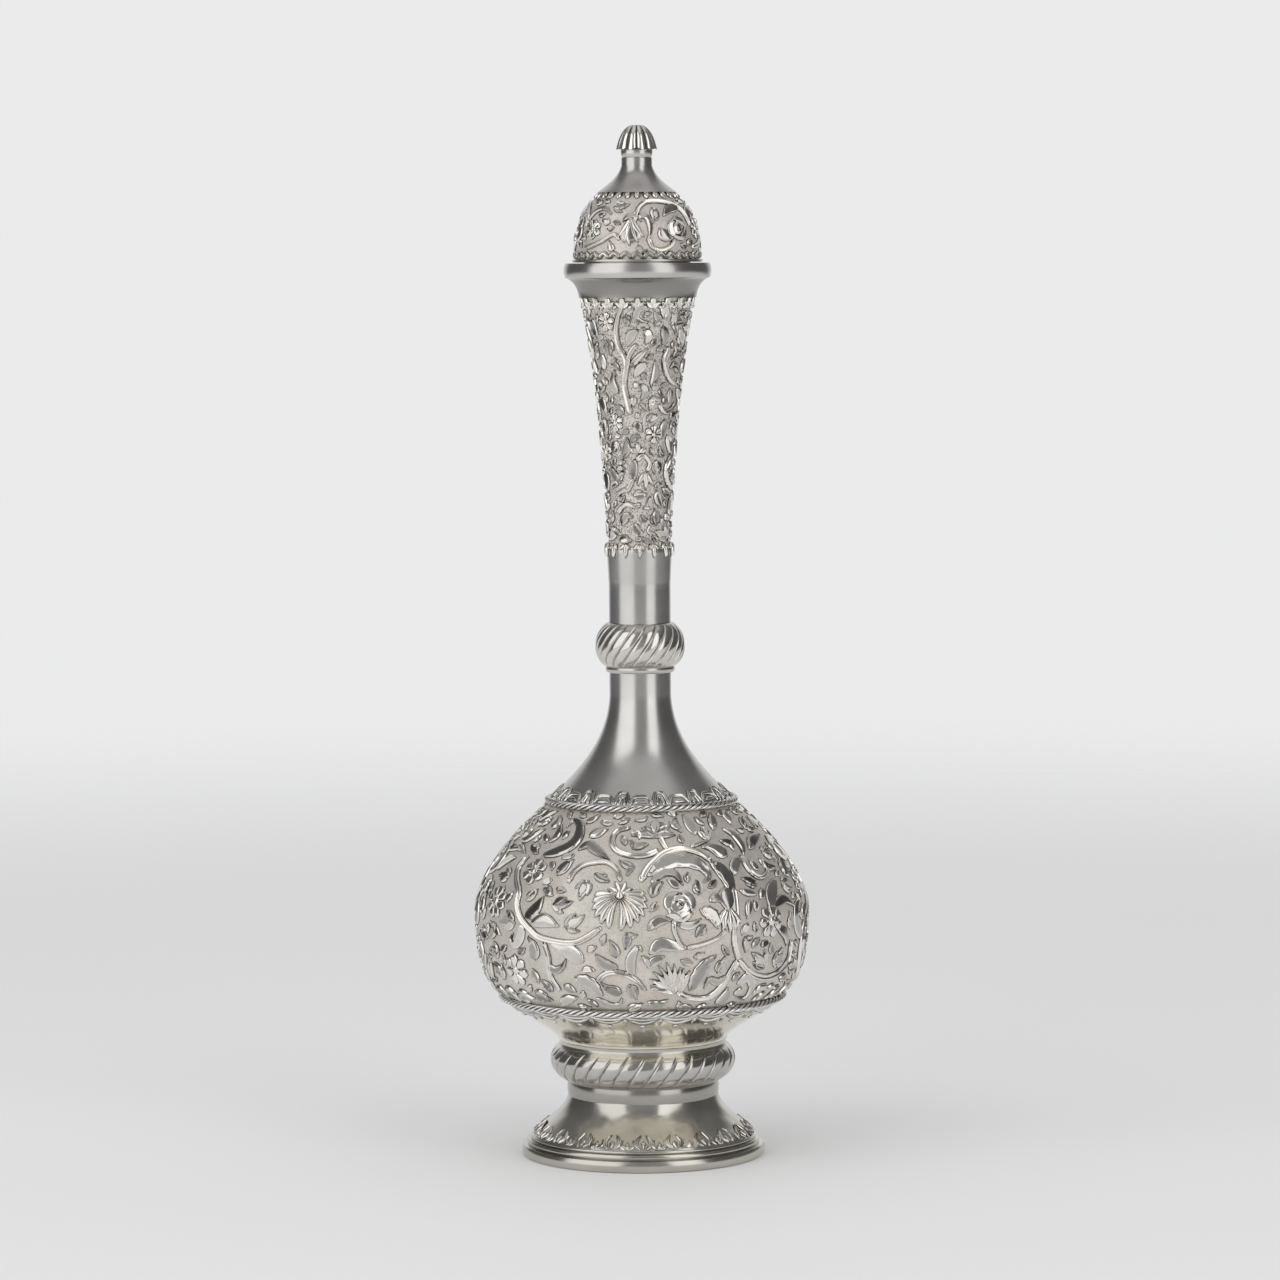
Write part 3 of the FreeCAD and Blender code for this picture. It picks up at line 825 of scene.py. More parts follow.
def ribbed_bud():
    """The bud on top: ribs that meet in creases and end below in hanging tips."""
    low, high, seat = BUD_LOW.z, BUD_HIGH.z, NECKLET_HIGH.z
    outside = span((BUD_RADIUS, low), (BUD_TOP_RADIUS, high), ((0.16, 0.38), (0.36, 0.84)), 28)
    crown = arc((BUD_TOP_RADIUS, high), (0, high), 0, 6)
    outline = list(outside) + list(crown[1:]) + [(0, seat), (BUD_SEAT_RADIUS, seat)]
    outline += [(BUD_LIP_RADIUS, seat - BUD_LIP_DROP)]
    bud = turned("ribbed_bud", outline, BUD_RIBS * BUD_RIB_STEPS)
    mesh = bud.data
    place = points_of(mesh)
    reach = np.hypot(place[:, 0], place[:, 1])
    angle = np.arctan2(place[:, 1], place[:, 0])
    across = np.mod(angle * BUD_RIBS / math.tau, 1.0)
    ridge = np.sin(math.pi * across)
    share = np.clip((place[:, 2] - low) / (high - low), 0, 1)
    outer = reach > np.interp(place[:, 2], outside[:, 1], outside[:, 0]) - 0.05 * MM
    depth = np.where(outer, 1.0 * MM * (1 - 0.6 * share), 0)
    reach2 = reach - depth * (1 - ridge ** 0.7)
    rise = np.where(outer & (share < 0.35), (1 - ridge) * 1.1 * MM * (1 - share / 0.35), 0)
    scale = reach2 / np.maximum(reach, 1e-9)
    place[:, 0] *= scale
    place[:, 1] *= scale
    place[:, 2] += rise
    move_points(mesh, place)
    # lift falls to nothing in the creases between ribs, where the finish paints shade.
    store(mesh, "lift", np.where(outer, np.clip(ridge * 1.6, 0, 1), 0.4))
    return bud


class Wall:
    """A turned wall that carries ornament, measured by angle and by length along it."""

    def __init__(self, outline):
        self.radius, self.height = np.asarray(outline, float).T
        rise = np.hypot(np.diff(self.radius), np.diff(self.height))
        self.length = np.concatenate(([0.0], np.cumsum(rise)))
        self.out = np.gradient(self.height, self.length)
        self.up = -np.gradient(self.radius, self.length)

    def along(self, height):
        """The length along the wall at which it reaches a height."""
        return np.interp(height, self.height, self.length)

    def girth(self, along):
        """The wall's radius at a length along it."""
        return np.interp(along, self.length, self.radius)

    def spots(self, angle, along, lift):
        """Points in space that stand off the wall by lift."""
        radius = self.girth(along) + lift * np.interp(along, self.length, self.out)
        height = np.interp(along, self.length, self.height)
        height = height + lift * np.interp(along, self.length, self.up)
        return np.stack((radius * np.sin(angle), -radius * np.cos(angle), height), axis=-1)


class Blank:
    """A closed cushion, modelled once, that every leaf, stem and petal is bent from."""

    def __init__(self, across, along):
        bpy.ops.object.select_all(action="DESELECT")
        bpy.ops.mesh.primitive_grid_add(x_subdivisions=across, y_subdivisions=along)
        piece = bpy.context.object
        mesh = piece.data
        bpy.ops.object.mode_set(mode="EDIT")
        bpy.ops.mesh.select_mode(type="EDGE")
        bpy.ops.mesh.select_all(action="DESELECT")
        bpy.ops.object.mode_set(mode="OBJECT")
        for edge in mesh.edges:
            ends = [mesh.vertices[i].co.x for i in edge.vertices]
            edge.select = min(abs(x) for x in ends) > 0.999 and ends[0] * ends[1] > 0
        bpy.ops.object.mode_set(mode="EDIT")
        bpy.ops.mesh.extrude_edges_move(TRANSFORM_OT_translate={"value": (0, 0, -1)})
        bpy.ops.mesh.bridge_edge_loops()
        bpy.ops.mesh.select_all(action="SELECT")
        bpy.ops.mesh.fill_holes(sides=0)
        bpy.ops.mesh.normals_make_consistent(inside=False)
        bpy.ops.mesh.select_mode(type="VERT")
        bpy.ops.object.mode_set(mode="OBJECT")
        points = points_of(mesh)
        side, end = 1 - 2 / across, 1 - 2 / along
        self.across = 0.98 * np.sin(np.clip(points[:, 0] / side, -1, 1) * math.pi / 2)
        inner = np.clip(points[:, 1] / end, -1, 1)
        self.along = 0.5 + 0.3 * inner + 0.2 * np.sin(inner * math.pi / 2)
        self.brim = np.where(np.abs(points[:, 0]) > side + 1e-4, np.sign(points[:, 0]), 0)
        self.lip = np.where(np.abs(points[:, 1]) > end + 1e-4, np.sign(points[:, 1]), 0)
        self.top = points[:, 2] > -0.5
        self.raised = self.top & (self.brim == 0) & (self.lip == 0)
        self.faces = [tuple(face.vertices) for face in mesh.polygons]
        bpy.data.objects.remove(piece)


def path_through(marks, stations=49):
    """A smooth line through marks, at even steps, with its direction at each step."""
    marks = np.asarray(marks, float)
    if len(marks) == 2:
        marks = np.vstack((marks[0], marks.mean(axis=0), marks[1]))
    ends = np.vstack((2 * marks[0] - marks[1], marks, 2 * marks[-1] - marks[-2]))
    t = np.linspace(0, 1, 12, endpoint=False)[:, None]
    runs = []
    for a, b, c, d in zip(ends, ends[1:], ends[2:], ends[3:]):
        runs.append(b + 0.5 * t * (c - a + t * (2 * a - 5 * b + 4 * c - d
                                                + t * (3 * b - a - 3 * c + d))))
    line = np.vstack(runs + [marks[-1:]])
    gone = np.concatenate(([0], np.cumsum(np.hypot(*np.diff(line, axis=0).T))))
    even = np.linspace(0, gone[-1], stations)
    return np.column_stack([np.interp(even, gone, line[:, i]) for i in (0, 1)])


def curling(heading, length, curl=0.0, steps=9):
    """A line of a given length that sets out at a heading and curls, both in degrees."""
    turn = np.radians(heading + curl * np.linspace(0, 1, steps))
    step = length / (steps - 1)
    ahead = np.column_stack((np.sin(turn), np.cos(turn)))[:-1] * step
    return np.vstack(([0, 0], np.cumsum(ahead, axis=0)))


def ends_down(t, root=0.06, tip=0.06):
    """The share of its height that a cushion keeps near its ends."""
    return np.sqrt(np.clip(t / root, 0, 1) * np.clip((1 - t) / tip, 0, 1))


def domed(s, t):
    """Full and round, as a bead of metal pushed out from behind."""
    return (1 - np.abs(s) ** 3) ** 0.6 * ends_down(t, 0.12, 0.12)


def flat_topped(s, t):
    """A leaf with a broad polished top and turned-down edges."""
    return (1 - np.abs(s) ** 8) ** 0.5 * (0.85 + 0.15 * s) * ends_down(t)


def grooved(s, t):
    """A stem with a groove chased down its middle."""
    groove = 0.55 * np.exp(-(s / 0.3) ** 2)
    return (1 - np.abs(s) ** 6) ** 0.5 * (1 - groove) * ends_down(t, 0.03, 0.03)


def veined(s, t):
    """A leaf with a sunk vein and swelling halves."""
    vein = 0.65 * np.exp(-(s / 0.2) ** 2) * (1 - 0.6 * t)
    return (1 - np.abs(s) ** 3) ** 0.6 * (1 - vein) * ends_down(t)


def ridged(s, t):
    """A leaf with ridges that lean out from a sunk vein."""
    vein = 0.5 * np.exp(-(s / 0.16) ** 2)
    ridges = 0.78 + 0.22 * np.cos(math.tau * (3.5 * t - 0.8 * np.abs(s)))
    return (1 - np.abs(s) ** 6) ** 0.5 * (1 - vein) * ridges * ends_down(t)


def rolled(s, t):
    """A leaf whose right edge is rolled over and stands higher than its left."""
    return (1 - np.abs(s) ** 8) ** 0.5 * (0.30 + 0.70 * (0.5 + 0.5 * s) ** 1.5) * ends_down(t)


def cupped(s, t):
    """A petal with raised rims and a hollow between them."""
    return (1 - np.abs(s) ** 10) ** 0.5 * (0.40 + 0.60 * s ** 2) * ends_down(t)


def leaf_width(t):
    """Narrow at both ends, widest a little before the middle."""
    return np.sin(math.pi * t ** 0.8) ** 0.8


def drop_width(t):
    """Narrow at the root, full and round at the tip."""
    return np.sin(math.pi * t ** 1.9) ** 0.55


def hook_width(t):
    """Widening quickly, then drawn out to a small curled end."""
    return np.sin(math.pi * np.clip(t, 0, 1) ** 0.7) ** 0.7 * (1 - 0.35 * t)


def stem_width(t):
    """Even, but drawn in at both ends."""
    return np.clip(np.minimum(t, 1 - t) / 0.04, 0.25, 1) ** 0.5 * (1.1 - 0.25 * t)


def round_width(t):
    """Round."""
    return np.sqrt(np.clip(4 * t * (1 - t), 0, 1))


def lobed_width(t):
    """A leaf's width with a scalloped margin."""
    return leaf_width(t) * (0.80 + 0.20 * np.abs(np.sin(5 * math.pi * t)) ** 0.6)


class Ornament:
    """The raised work on one wall, gathered stroke by stroke and then made into pieces."""

    def __init__(self, wall, blanks, relief=RELIEF, fullness=1.0):
        self.wall = wall
        self.fullness = fullness
        self.blanks = blanks
        self.relief = relief
        self.strokes = []
        self.taken = []
        self.kind = "leaves"
        self.chance = np.random.default_rng(5)

    def marks(self, listed):
        """Places in degrees and millimetres, as angles and lengths along the wall."""
        listed = np.asarray(listed, float)
        return np.column_stack((np.radians(listed[:, 0]), self.wall.along(listed[:, 1] * MM)))

    def near(self, mark, offsets):
        """Places at offsets in millimetres to the right of a mark and up from it."""
        (angle, along), = self.marks([mark])
        offsets = np.asarray(offsets, float) * MM
        return np.column_stack((angle + offsets[:, 0] / self.wall.girth(along),
                                along + offsets[:, 1]))

    def stroke(self, line, width, form=domed, spread=leaf_width, height=1.0):
        """Bend one cushion along a line of the wall. The width is in millimetres."""
        girth = self.wall.girth(np.mean(line[:, 1]))
        flat = path_through(np.column_stack((line[:, 0] * girth, line[:, 1])))
        reach = np.hypot(*np.diff(flat, axis=0).T).sum()
        blank = self.blanks[int(np.searchsorted(BLANK_REACH, reach))]
        s, t = blank.across, blank.along
        ahead = np.gradient(flat, axis=0)
        ahead /= np.maximum(np.hypot(ahead[:, 0], ahead[:, 1]), 1e-12)[:, None]
        at = np.linspace(0, 1, len(flat))
        x, y = (np.interp(t, at, flat[:, i]) for i in (0, 1))
        go_x, go_y = (np.interp(t, at, ahead[:, i]) for i in (0, 1))
        half = 0.5 * width * MM * np.maximum(spread(t), 0.07)
        aside = s * half + blank.brim * GROOVE
        along = y - aside * go_x + blank.lip * GROOVE * go_y
        across = aside * go_y + blank.lip * GROOVE * go_x
        angle = x / girth + across / self.wall.girth(along)
        rise = np.where(blank.raised, 0.3 + 0.7 * form(s, t), 0.02)
        lift = np.where(blank.top, rise * height * self.relief, -ROOT_DEPTH)
        # The raised top stays clear; its sides and underside take the finish's painted contact
        # shade.
        unshaded = np.where(blank.raised, 1.0, 0.0)
        # Painted dark reflection on each stroke's top, at a random strength for its kind,
        # fading out at the edges, which stay bright as a painted highlight.
        shade = self.chance.uniform(*SHADES[self.kind]) * unshaded * (1 - np.abs(s) ** 4)
        points = self.wall.spots(angle, along, lift)
        self.strokes.append((self.kind, points, unshaded, shade, blank))
        every = np.linspace(0, 1, max(3, int(reach / (0.9 * MM))))
        self.taken.append(np.column_stack((np.interp(every, at, flat[:, 0]) / girth,
                                           np.interp(every, at, flat[:, 1]),
                                           0.5 * width * MM * spread(every) + GROOVE)))

    def stem(self, listed, width):
        """A grooved stem through listed places."""
        self.kind = "stems"
        self.stroke(self.marks(listed), width, grooved, stem_width, 0.9)

    def leaf(self, listed, width, form=veined, spread=leaf_width):
        """A leaf along listed places."""
        self.kind = "leaves"
        self.stroke(self.marks(listed), width * self.fullness, form, spread)

    def fan(self, root, headings, lengths, width, form=cupped, spread=drop_width,
            curl=0.0, start=0.0, kind="flowers"):
        """Petals that set out from one root, each curling to its own side."""
        self.kind = kind
        for heading, length in zip(headings, lengths):
            side = math.copysign(min(1, abs(heading % 360 - 360 * (heading % 360 > 180)) / 60),
                                 math.sin(math.radians(heading)))
            bend = curl * side
            line = curling(heading - bend / 2, length, bend) + curling(heading, start)[-1]
            self.stroke(self.near(root, line), width, form, spread)

    def boss(self, mark, size):
        """A round boss."""
        self.kind = "flowers"
        line = self.near(mark, ((0, -size / 2), (0, 0), (0, size / 2)))
        self.stroke(line, size, domed, round_width)

    def blossom(self, mark, petals, size, turn=0.0):
        """A round flower with a boss in the middle."""
        headings = turn + 360 / petals * np.arange(petals)
        self.fan(mark, headings, [size * 0.42] * petals, size * 2.0 / petals,
                 start=size * 0.1)
        self.boss(mark, size * 0.26)

    def crescents(self, mark, petals):
        """Curved petals in rings round a mark: radius, middle heading, sweep, width."""
        self.kind = "flowers"
        for radius, middle, sweep, width in petals:
            turn = np.radians(middle + sweep * np.linspace(-0.5, 0.5, 9))
            line = np.column_stack((np.sin(turn), np.cos(turn))) * radius
            self.stroke(self.near(mark, line), width, rolled, leaf_width)

    def turned_copies(self, count):
        """Repeat all strokes so far, so that they stand count times round the wall."""
        first, room = list(self.strokes), list(self.taken)
        for copy in range(1, count):
            turn = math.tau * copy / count
            c, s = math.cos(turn), math.sin(turn)
            matrix = np.array(((c, s, 0), (-s, c, 0), (0, 0, 1)))
            for kind, points, unshaded, shade, blank in first:
                self.strokes.append((kind, points @ matrix, unshaded, shade, blank))
            self.taken.extend(spots + (turn, 0, 0) for spots in room)

    def border(self, count, unit):
        """Repeat one unit of a border evenly round the wall."""
        before = len(self.strokes)
        for i in range(count):
            unit(self, 360 * i / count)
        self.strokes[before:] = [("border",) + stroke[1:] for stroke in self.strokes[before:]]

    def sprig(self, spot, heading, size, bend):
        """Lines of three leaves that set out from one root, centred on a spot."""
        lines = []
        for aside, reach, turn in ((0, 1.0, 0.4), (-58, 0.62, -0.7), (58, 0.62, 0.7)):
            line = curling(heading + aside, size * reach, turn * bend)
            line = line + curling(heading, size * 0.45)[-1] * (-1 if aside == 0 else -0.75)
            girth = self.wall.girth(spot[1])
            lines.append(np.column_stack((spot[0] + line[:, 0] / girth,
                                          spot[1] + line[:, 1])))
        return lines

    def fill(self, low, high, width, length, lobes, gap, step):
        """Leaves or sprigs of one size in every space left between two heights."""
        chance = self.chance
        self.kind = "small_leaves"
        low, high = self.wall.along(np.array((low, high)) * MM)
        room = (0.42 * width + gap) * MM
        for along in np.arange(low, high, step * MM):
            girth = self.wall.girth(along)
            taken = np.vstack(self.taken)
            taken = taken[np.abs(taken[:, 1] - along) < 8 * MM]
            count = int(math.tau * girth / (step * MM))
            angles = math.tau * (np.arange(count) + chance.uniform(0, 0.9, count)) / count
            middles = np.column_stack((angles, np.full(count, along)))
            for angle in angles[distances(middles, taken, girth).min(axis=1) > room]:
                heading = chance.uniform(-180, 180)
                reach = length * chance.uniform(0.85, 1.15) * MM
                lines = self.sprig((angle, along), heading, reach, 75 * chance.choice((-1, 1)))
                lines = lines[:lobes]
                spots = np.vstack(lines)
                if spots[:, 1].min() < low or spots[:, 1].max() > high:
                    continue
                if distances(spots, taken, girth).min() > room:
                    for i, line in enumerate(lines):
                        self.stroke(line, width * (1 if i == 0 else 0.85),
                                    chance.choice((veined, rolled, ridged)),
                                    hook_width if i else leaf_width)
                    taken = np.vstack([taken] + self.taken[-len(lines):])

    def pieces(self, name, material, body):
        """One dressed mesh for each kind of stroke."""
        for kind in sorted({stroke[0] for stroke in self.strokes}):
            chosen = [stroke for stroke in self.strokes if stroke[0] == kind]
            faces, count = [], 0
            for _, points, _, _, blank in chosen:
                faces.extend(tuple(count + i for i in face) for face in blank.faces)
                count += len(points)
            mesh = bpy.data.meshes.new(name + "_" + kind)
            mesh.from_pydata(np.vstack([stroke[1] for stroke in chosen]), [], faces)
            # The stored lift and shade drive the painted contact shade and the painted dark
            # reflection on the tops.
            store(mesh, "lift", np.concatenate([stroke[2] for stroke in chosen]))
            store(mesh, "shade", np.concatenate([stroke[3] for stroke in chosen]))
            mesh.update()
            piece = bpy.data.objects.new(name + "_" + kind, mesh)
            bpy.context.scene.collection.objects.link(piece)
            select_only(piece)
            bpy.ops.object.shade_smooth_by_angle(angle=math.radians(ORNAMENT_SMOOTHING))
            dress(piece, material, body, "bright_silver")


def distances(spots, taken, girth):
    """How far each spot is from the edge of all that is there already."""
    aside = np.mod(spots[:, None, 0] - taken[None, :, 0] + math.pi, math.tau) - math.pi
    far = np.hypot(aside * girth, spots[:, None, 1] - taken[None, :, 1])
    return far - taken[None, :, 2]


def belly_ornament(work):
    """The scrolls, flowers and leaves of half the belly, as on the side that is seen."""
    # Stems and scrolls
    work.stem(((-55, 105), (-57, 101.5), (-54, 97.5), (-50, 94), (-49, 90), (-46, 86),
               (-42, 83), (-38, 80.5), (-33, 79.5), (-27, 79), (-22.5, 79.5), (-18.5, 81.5),
               (-14, 84.5)), 2.1)
    work.stem(((-28.5, 98.5), (-27.5, 101.5), (-24, 104), (-18.5, 105), (-14, 105),
               (-10, 103), (-8, 99.5)), 1.6)
    work.stem(((-0.5, 99.5), (2.5, 103.5), (6, 106), (10, 108), (16, 109), (21.5, 108.5),
               (26.5, 107), (30, 104.5)), 2.2)
    work.stem(((35.5, 96), (34, 87.5), (33, 79), (35, 72.5)), 2.2)
    work.stem(((35, 72.5), (39.5, 68.5), (44.5, 66), (50.5, 65), (57, 66), (62, 69.5),
               (63, 76)), 1.9)
    work.stem(((35, 72.5), (32.5, 69), (30.5, 65.5), (27.5, 62), (23.5, 60), (17.5, 60.5),
               (12.5, 62.5)), 2.0)
    work.stem(((11, 87), (11, 83.5), (13, 79), (15, 77.5)), 1.5)
    work.stem(((46.5, 105.5), (46, 101.5), (49, 98.5), (54, 98.5), (60, 101)), 1.6)
    work.stem(((9, 113), (10, 111), (11.5, 108.5)), 1.7)
    work.stem(((-16, 66.5), (-13, 69), (-9.5, 69.8), (-5.5, 69), (-2, 67), (1, 63.5)), 1.6)
    work.stem(((-35.5, 78.5), (-34, 74), (-34, 70), (-33.5, 66.5), (-31, 62.5)), 1.8)
    work.stem(((23, 109.5), (28.5, 110.3), (32.5, 111)), 1.0)
    work.stem(((8, 108.8), (1.5, 107.3), (-5, 107.3), (-11, 108.8), (-14, 111.8), (-12, 114.6),
               (-6, 115.6)), 1.9)
    work.stem(((15.5, 77.6), (21, 78.5), (26.5, 80.3), (29.5, 83)), 1.3)

    # Leaves, from the upper left to the lower right
    work.leaf(((-46.5, 106), (-39.5, 107.5), (-34, 109.5), (-32, 112.5), (-34.5, 115.8),
               (-40, 117), (-42, 115)), 3.6, rolled, hook_width)
    work.leaf(((-47, 110), (-45, 112.5), (-47, 115.5)), 2.2, rolled)
    work.leaf(((-68.5, 108.5), (-62.5, 111), (-57, 113.5)), 2.2)
    work.leaf(((-53.5, 118), (-51, 116.5), (-51.5, 114)), 2.6, domed, drop_width)
    work.leaf(((-70, 115.5), (-66, 117.5), (-59.5, 119)), 2.0)
    work.leaf(((-75, 99), (-71, 102.5), (-64, 104)), 2.8, rolled)
    work.leaf(((-77, 105.5), (-67.5, 107.2), (-59, 106)), 2.2)
    work.leaf(((-33, 79), (-27, 77), (-20.5, 73)), 3.8, rolled, drop_width)
    work.leaf(((-34, 71), (-31.5, 69.5), (-28.5, 71), (-27, 73.5)), 2.0, rolled, hook_width)
    work.leaf(((-45, 84), (-46, 79.5), (-49, 76.5), (-51.5, 78), (-50, 80.5)), 2.5, rolled,
              hook_width)
    work.leaf(((-42.5, 80), (-40, 77), (-40, 72.5)), 3.0, veined, drop_width)
    work.leaf(((-44, 86.5), (-40, 89), (-37.5, 93.5)), 3.2, rolled)
    work.leaf(((-41, 84.5), (-35.5, 86), (-29.5, 84.5)), 3.4, domed)
    work.leaf(((-34.5, 100.5), (-32.5, 103), (-29.5, 105.5)), 2.8)
    work.leaf(((-29, 108.5), (-25, 110.3), (-19.5, 108.3), (-13.5, 106)), 2.4, rolled)
    work.leaf(((-26, 112.5), (-22, 114), (-17.5, 115)), 2.8, domed)
    work.leaf(((-31, 116.5), (-25, 119)), 1.5)
    work.leaf(((-16, 118.5), (-10, 119.3)), 1.3)
    work.leaf(((27.5, 113), (26.5, 116.5), (25, 119)), 2.6, rolled)
    work.leaf(((39, 114), (42, 116.5), (45, 119)), 2.4)
    work.leaf(((28, 109), (33.5, 108.5), (39, 106)), 4.0, domed, drop_width)
    work.leaf(((45.5, 114), (50.5, 112), (50.5, 108.5), (48, 105.5)), 2.9, rolled)
    work.leaf(((29, 104.5), (33, 101.5), (34.5, 97.5), (33, 92.5)), 3.8, ridged)
    work.leaf(((2.5, 101), (8, 104.5), (16, 105.8), (23.5, 104), (26.5, 100.5), (24, 98.5)),
              4.6, ridged, lobed_width)
    work.leaf(((3.5, 99), (8.5, 102), (13, 101.5), (15.5, 98)), 2.3, rolled)
    work.leaf(((3.5, 94.5), (5, 97.5), (8, 99)), 2.6, domed)
    work.leaf(((2, 84), (5.5, 86.8), (10, 86.8)), 2.4)
    work.leaf(((12, 85.5), (16.5, 85), (20.5, 87)), 1.8, rolled)
    work.leaf(((2.5, 76), (6, 79), (10, 78.5), (15, 77.5)), 3.0, rolled)
    work.leaf(((20.5, 90), (25, 88), (26.5, 83.5)), 3.6, ridged, lobed_width)
    work.leaf(((17, 63), (19.5, 67.5), (22, 71.5), (26, 74.5)), 3.7, ridged, lobed_width)
    work.leaf(((31, 67), (27.5, 65.3), (24, 66.5), (22.5, 63.5)), 2.2, rolled, hook_width)
    work.leaf(((29, 57.5), (31.5, 59.5), (32, 63)), 2.6, domed)
    work.leaf(((36, 64), (40, 66), (43.5, 62.5), (42.5, 58.5), (38, 59)), 2.6, rolled,
              hook_width)
    work.leaf(((50, 88.5), (53.5, 93), (59, 97)), 3.6, rolled)
    work.leaf(((52, 88.5), (60, 90.3), (67, 87)), 2.2, rolled)
    work.leaf(((38, 95), (45, 93)), 1.8, domed)
    work.leaf(((56, 103.5), (58.5, 101), (64, 100)), 2.2)
    work.leaf(((38, 100), (40.5, 103), (45.5, 105)), 2.6, rolled)
    work.leaf(((54, 107), (62, 109.5), (72, 110)), 2.8)
    work.leaf(((-24, 67.5), (-18.5, 65.5), (-14.5, 61.5)), 3.6, ridged, lobed_width)
    work.leaf(((-14.5, 66), (-12, 64), (-7.5, 62.5)), 2.6, veined, drop_width)
    work.leaf(((-17, 60.5), (-13, 58.3), (-9, 58.3), (-7.5, 60.5)), 1.9, rolled, hook_width)
    work.leaf(((-33, 57.5), (-28.5, 59.5), (-24.5, 60.5)), 2.8)
    work.leaf(((-29, 64.5), (-24.5, 62.5)), 2.2, domed)
    work.leaf(((-11, 80.5), (-9.5, 78), (-9, 74.8)), 2.4, domed, drop_width)
    work.leaf(((-8.5, 71.5), (-12.5, 72), (-16, 75.5)), 2.8, rolled)
    work.leaf(((-3.5, 68.5), (-4, 73.5), (-1.5, 78.5), (0, 77)), 2.7, rolled, hook_width)
    work.leaf(((41, 91.5), (38.5, 86)), 2.0, domed)
    work.leaf(((54, 81), (58.5, 79), (60, 74.5)), 2.6, rolled)
    work.leaf(((45.5, 60), (51.5, 62.5)), 2.2)
    work.leaf(((2, 59.3), (6, 58.5), (9.5, 60)), 1.8)
    work.leaf(((3, 65), (9, 63.5)), 1.6)

    # The large flower in the middle, its petals hanging
    work.fan((-8, 95), range(88, 273, 15), (6.8, 7.6, 8.4, 9.0, 9.5, 9.9, 10.2, 9.9, 9.5, 9.0,
             8.4, 7.6, 6.8), 2.2, domed, drop_width, 40, 1.7)
    work.fan((-8, 95), (-62, -22, 22, 62), (3.8, 4.2, 4.2, 3.8), 2.2, veined, leaf_width, 30,
             0.9)
    work.boss((-8, 95), 2.6)

    # The rose beside it
    work.crescents((13.5, 91.8), ((4.3, 188, 130, 2.9), (4.2, 68, 115, 2.9),
                                  (4.2, -58, 115, 2.9), (2.4, 130, 150, 2.2),
                                  (2.4, 10, 140, 2.2), (2.4, -110, 140, 2.2),
                                  (1.0, 60, 200, 1.5), (1.0, -120, 190, 1.5)))
    work.fan((13, 86.9), (-75, 70), (5, 5.2), 1.9, rolled, leaf_width, 60)

    # The lotus under the shoulder, and the bud to its right
    work.fan((7.5, 112.8), (-88, -52, 52, 88), (8.5, 6.5, 6.5, 6.5), 2.8, cupped, leaf_width,
             40, kind="leaves")
    work.fan((7.5, 112.8), (-24, 24), (6.6, 6.6), 3.2, cupped, drop_width, kind="leaves")
    work.fan((7.5, 112.5), (0,), (7.4,), 4.2, veined, drop_width)
    work.fan((-1, 112.3), (-60,), (5,), 1.7, rolled, hook_width, 160)
    work.fan((32.5, 111), (-34, 0, 34), (4.8, 5.6, 4.8), 2.1, cupped, leaf_width, 30)

    # The hanging bud
    work.leaf(((32, 96.5), (31.5, 92), (31, 88.5)), 4.4, domed)
    work.fan((31, 90), (142, 161, 180, 199, 218), (6.4, 7.2, 7.6, 7.2, 6.4), 2.2, domed,
             leaf_width, 12, 0.6)
    work.leaf(((24.5, 92.5), (28, 93.5), (31, 91)), 2.2, rolled)

    # The palm at the foot
    work.fan((11.5, 62.5), (-78, -60, -44, -30, -16, -3, 10), (8, 9.6, 10.4, 11, 11, 10, 9),
             1.7, cupped, leaf_width, 24)
    work.fan((13.5, 62.5), (-12, 4, 20), (7, 8.4, 8), 2.4, veined, leaf_width, 10)

    # Round flowers at the left and right
    for mark, petals, size, turn in (((50, 84), 7, 11, 10), ((-50, 68), 7, 10.5, 0),
                                     ((-62, 90), 8, 11, 15), ((-46.5, 101), 6, 9.5, 0)):
        work.blossom(mark, petals, size, turn)

    # The sides, which the photograph shows only edge-on
    work.stem(((79, 62), (74, 68), (73, 75), (78, 82), (86, 87), (92, 93), (92, 101),
               (86, 107)), 2.0)
    work.leaf(((86, 107), (80, 108), (77, 104.5), (81, 101.5), (85, 103)), 3.0, rolled,
              hook_width)
    work.leaf(((74, 76), (68, 80), (67, 86), (71, 89)), 3.2, rolled, hook_width)
    work.leaf(((80, 83), (86, 81), (89, 76), (85, 72.5)), 3.0, rolled, hook_width)
    work.blossom((80, 93.5), 7, 9.5, 0)
    work.blossom((95, 71), 7, 10, 0)
    work.leaf(((96, 80), (100, 84), (99, 89)), 3.0, veined)
    work.leaf(((76, 112), (83, 114.5), (92, 113)), 2.8, rolled)
    work.leaf(((97, 97), (103, 102), (101, 108)), 3.0, veined)
    work.leaf(((84, 62), (89, 60), (95, 61)), 2.6, veined)


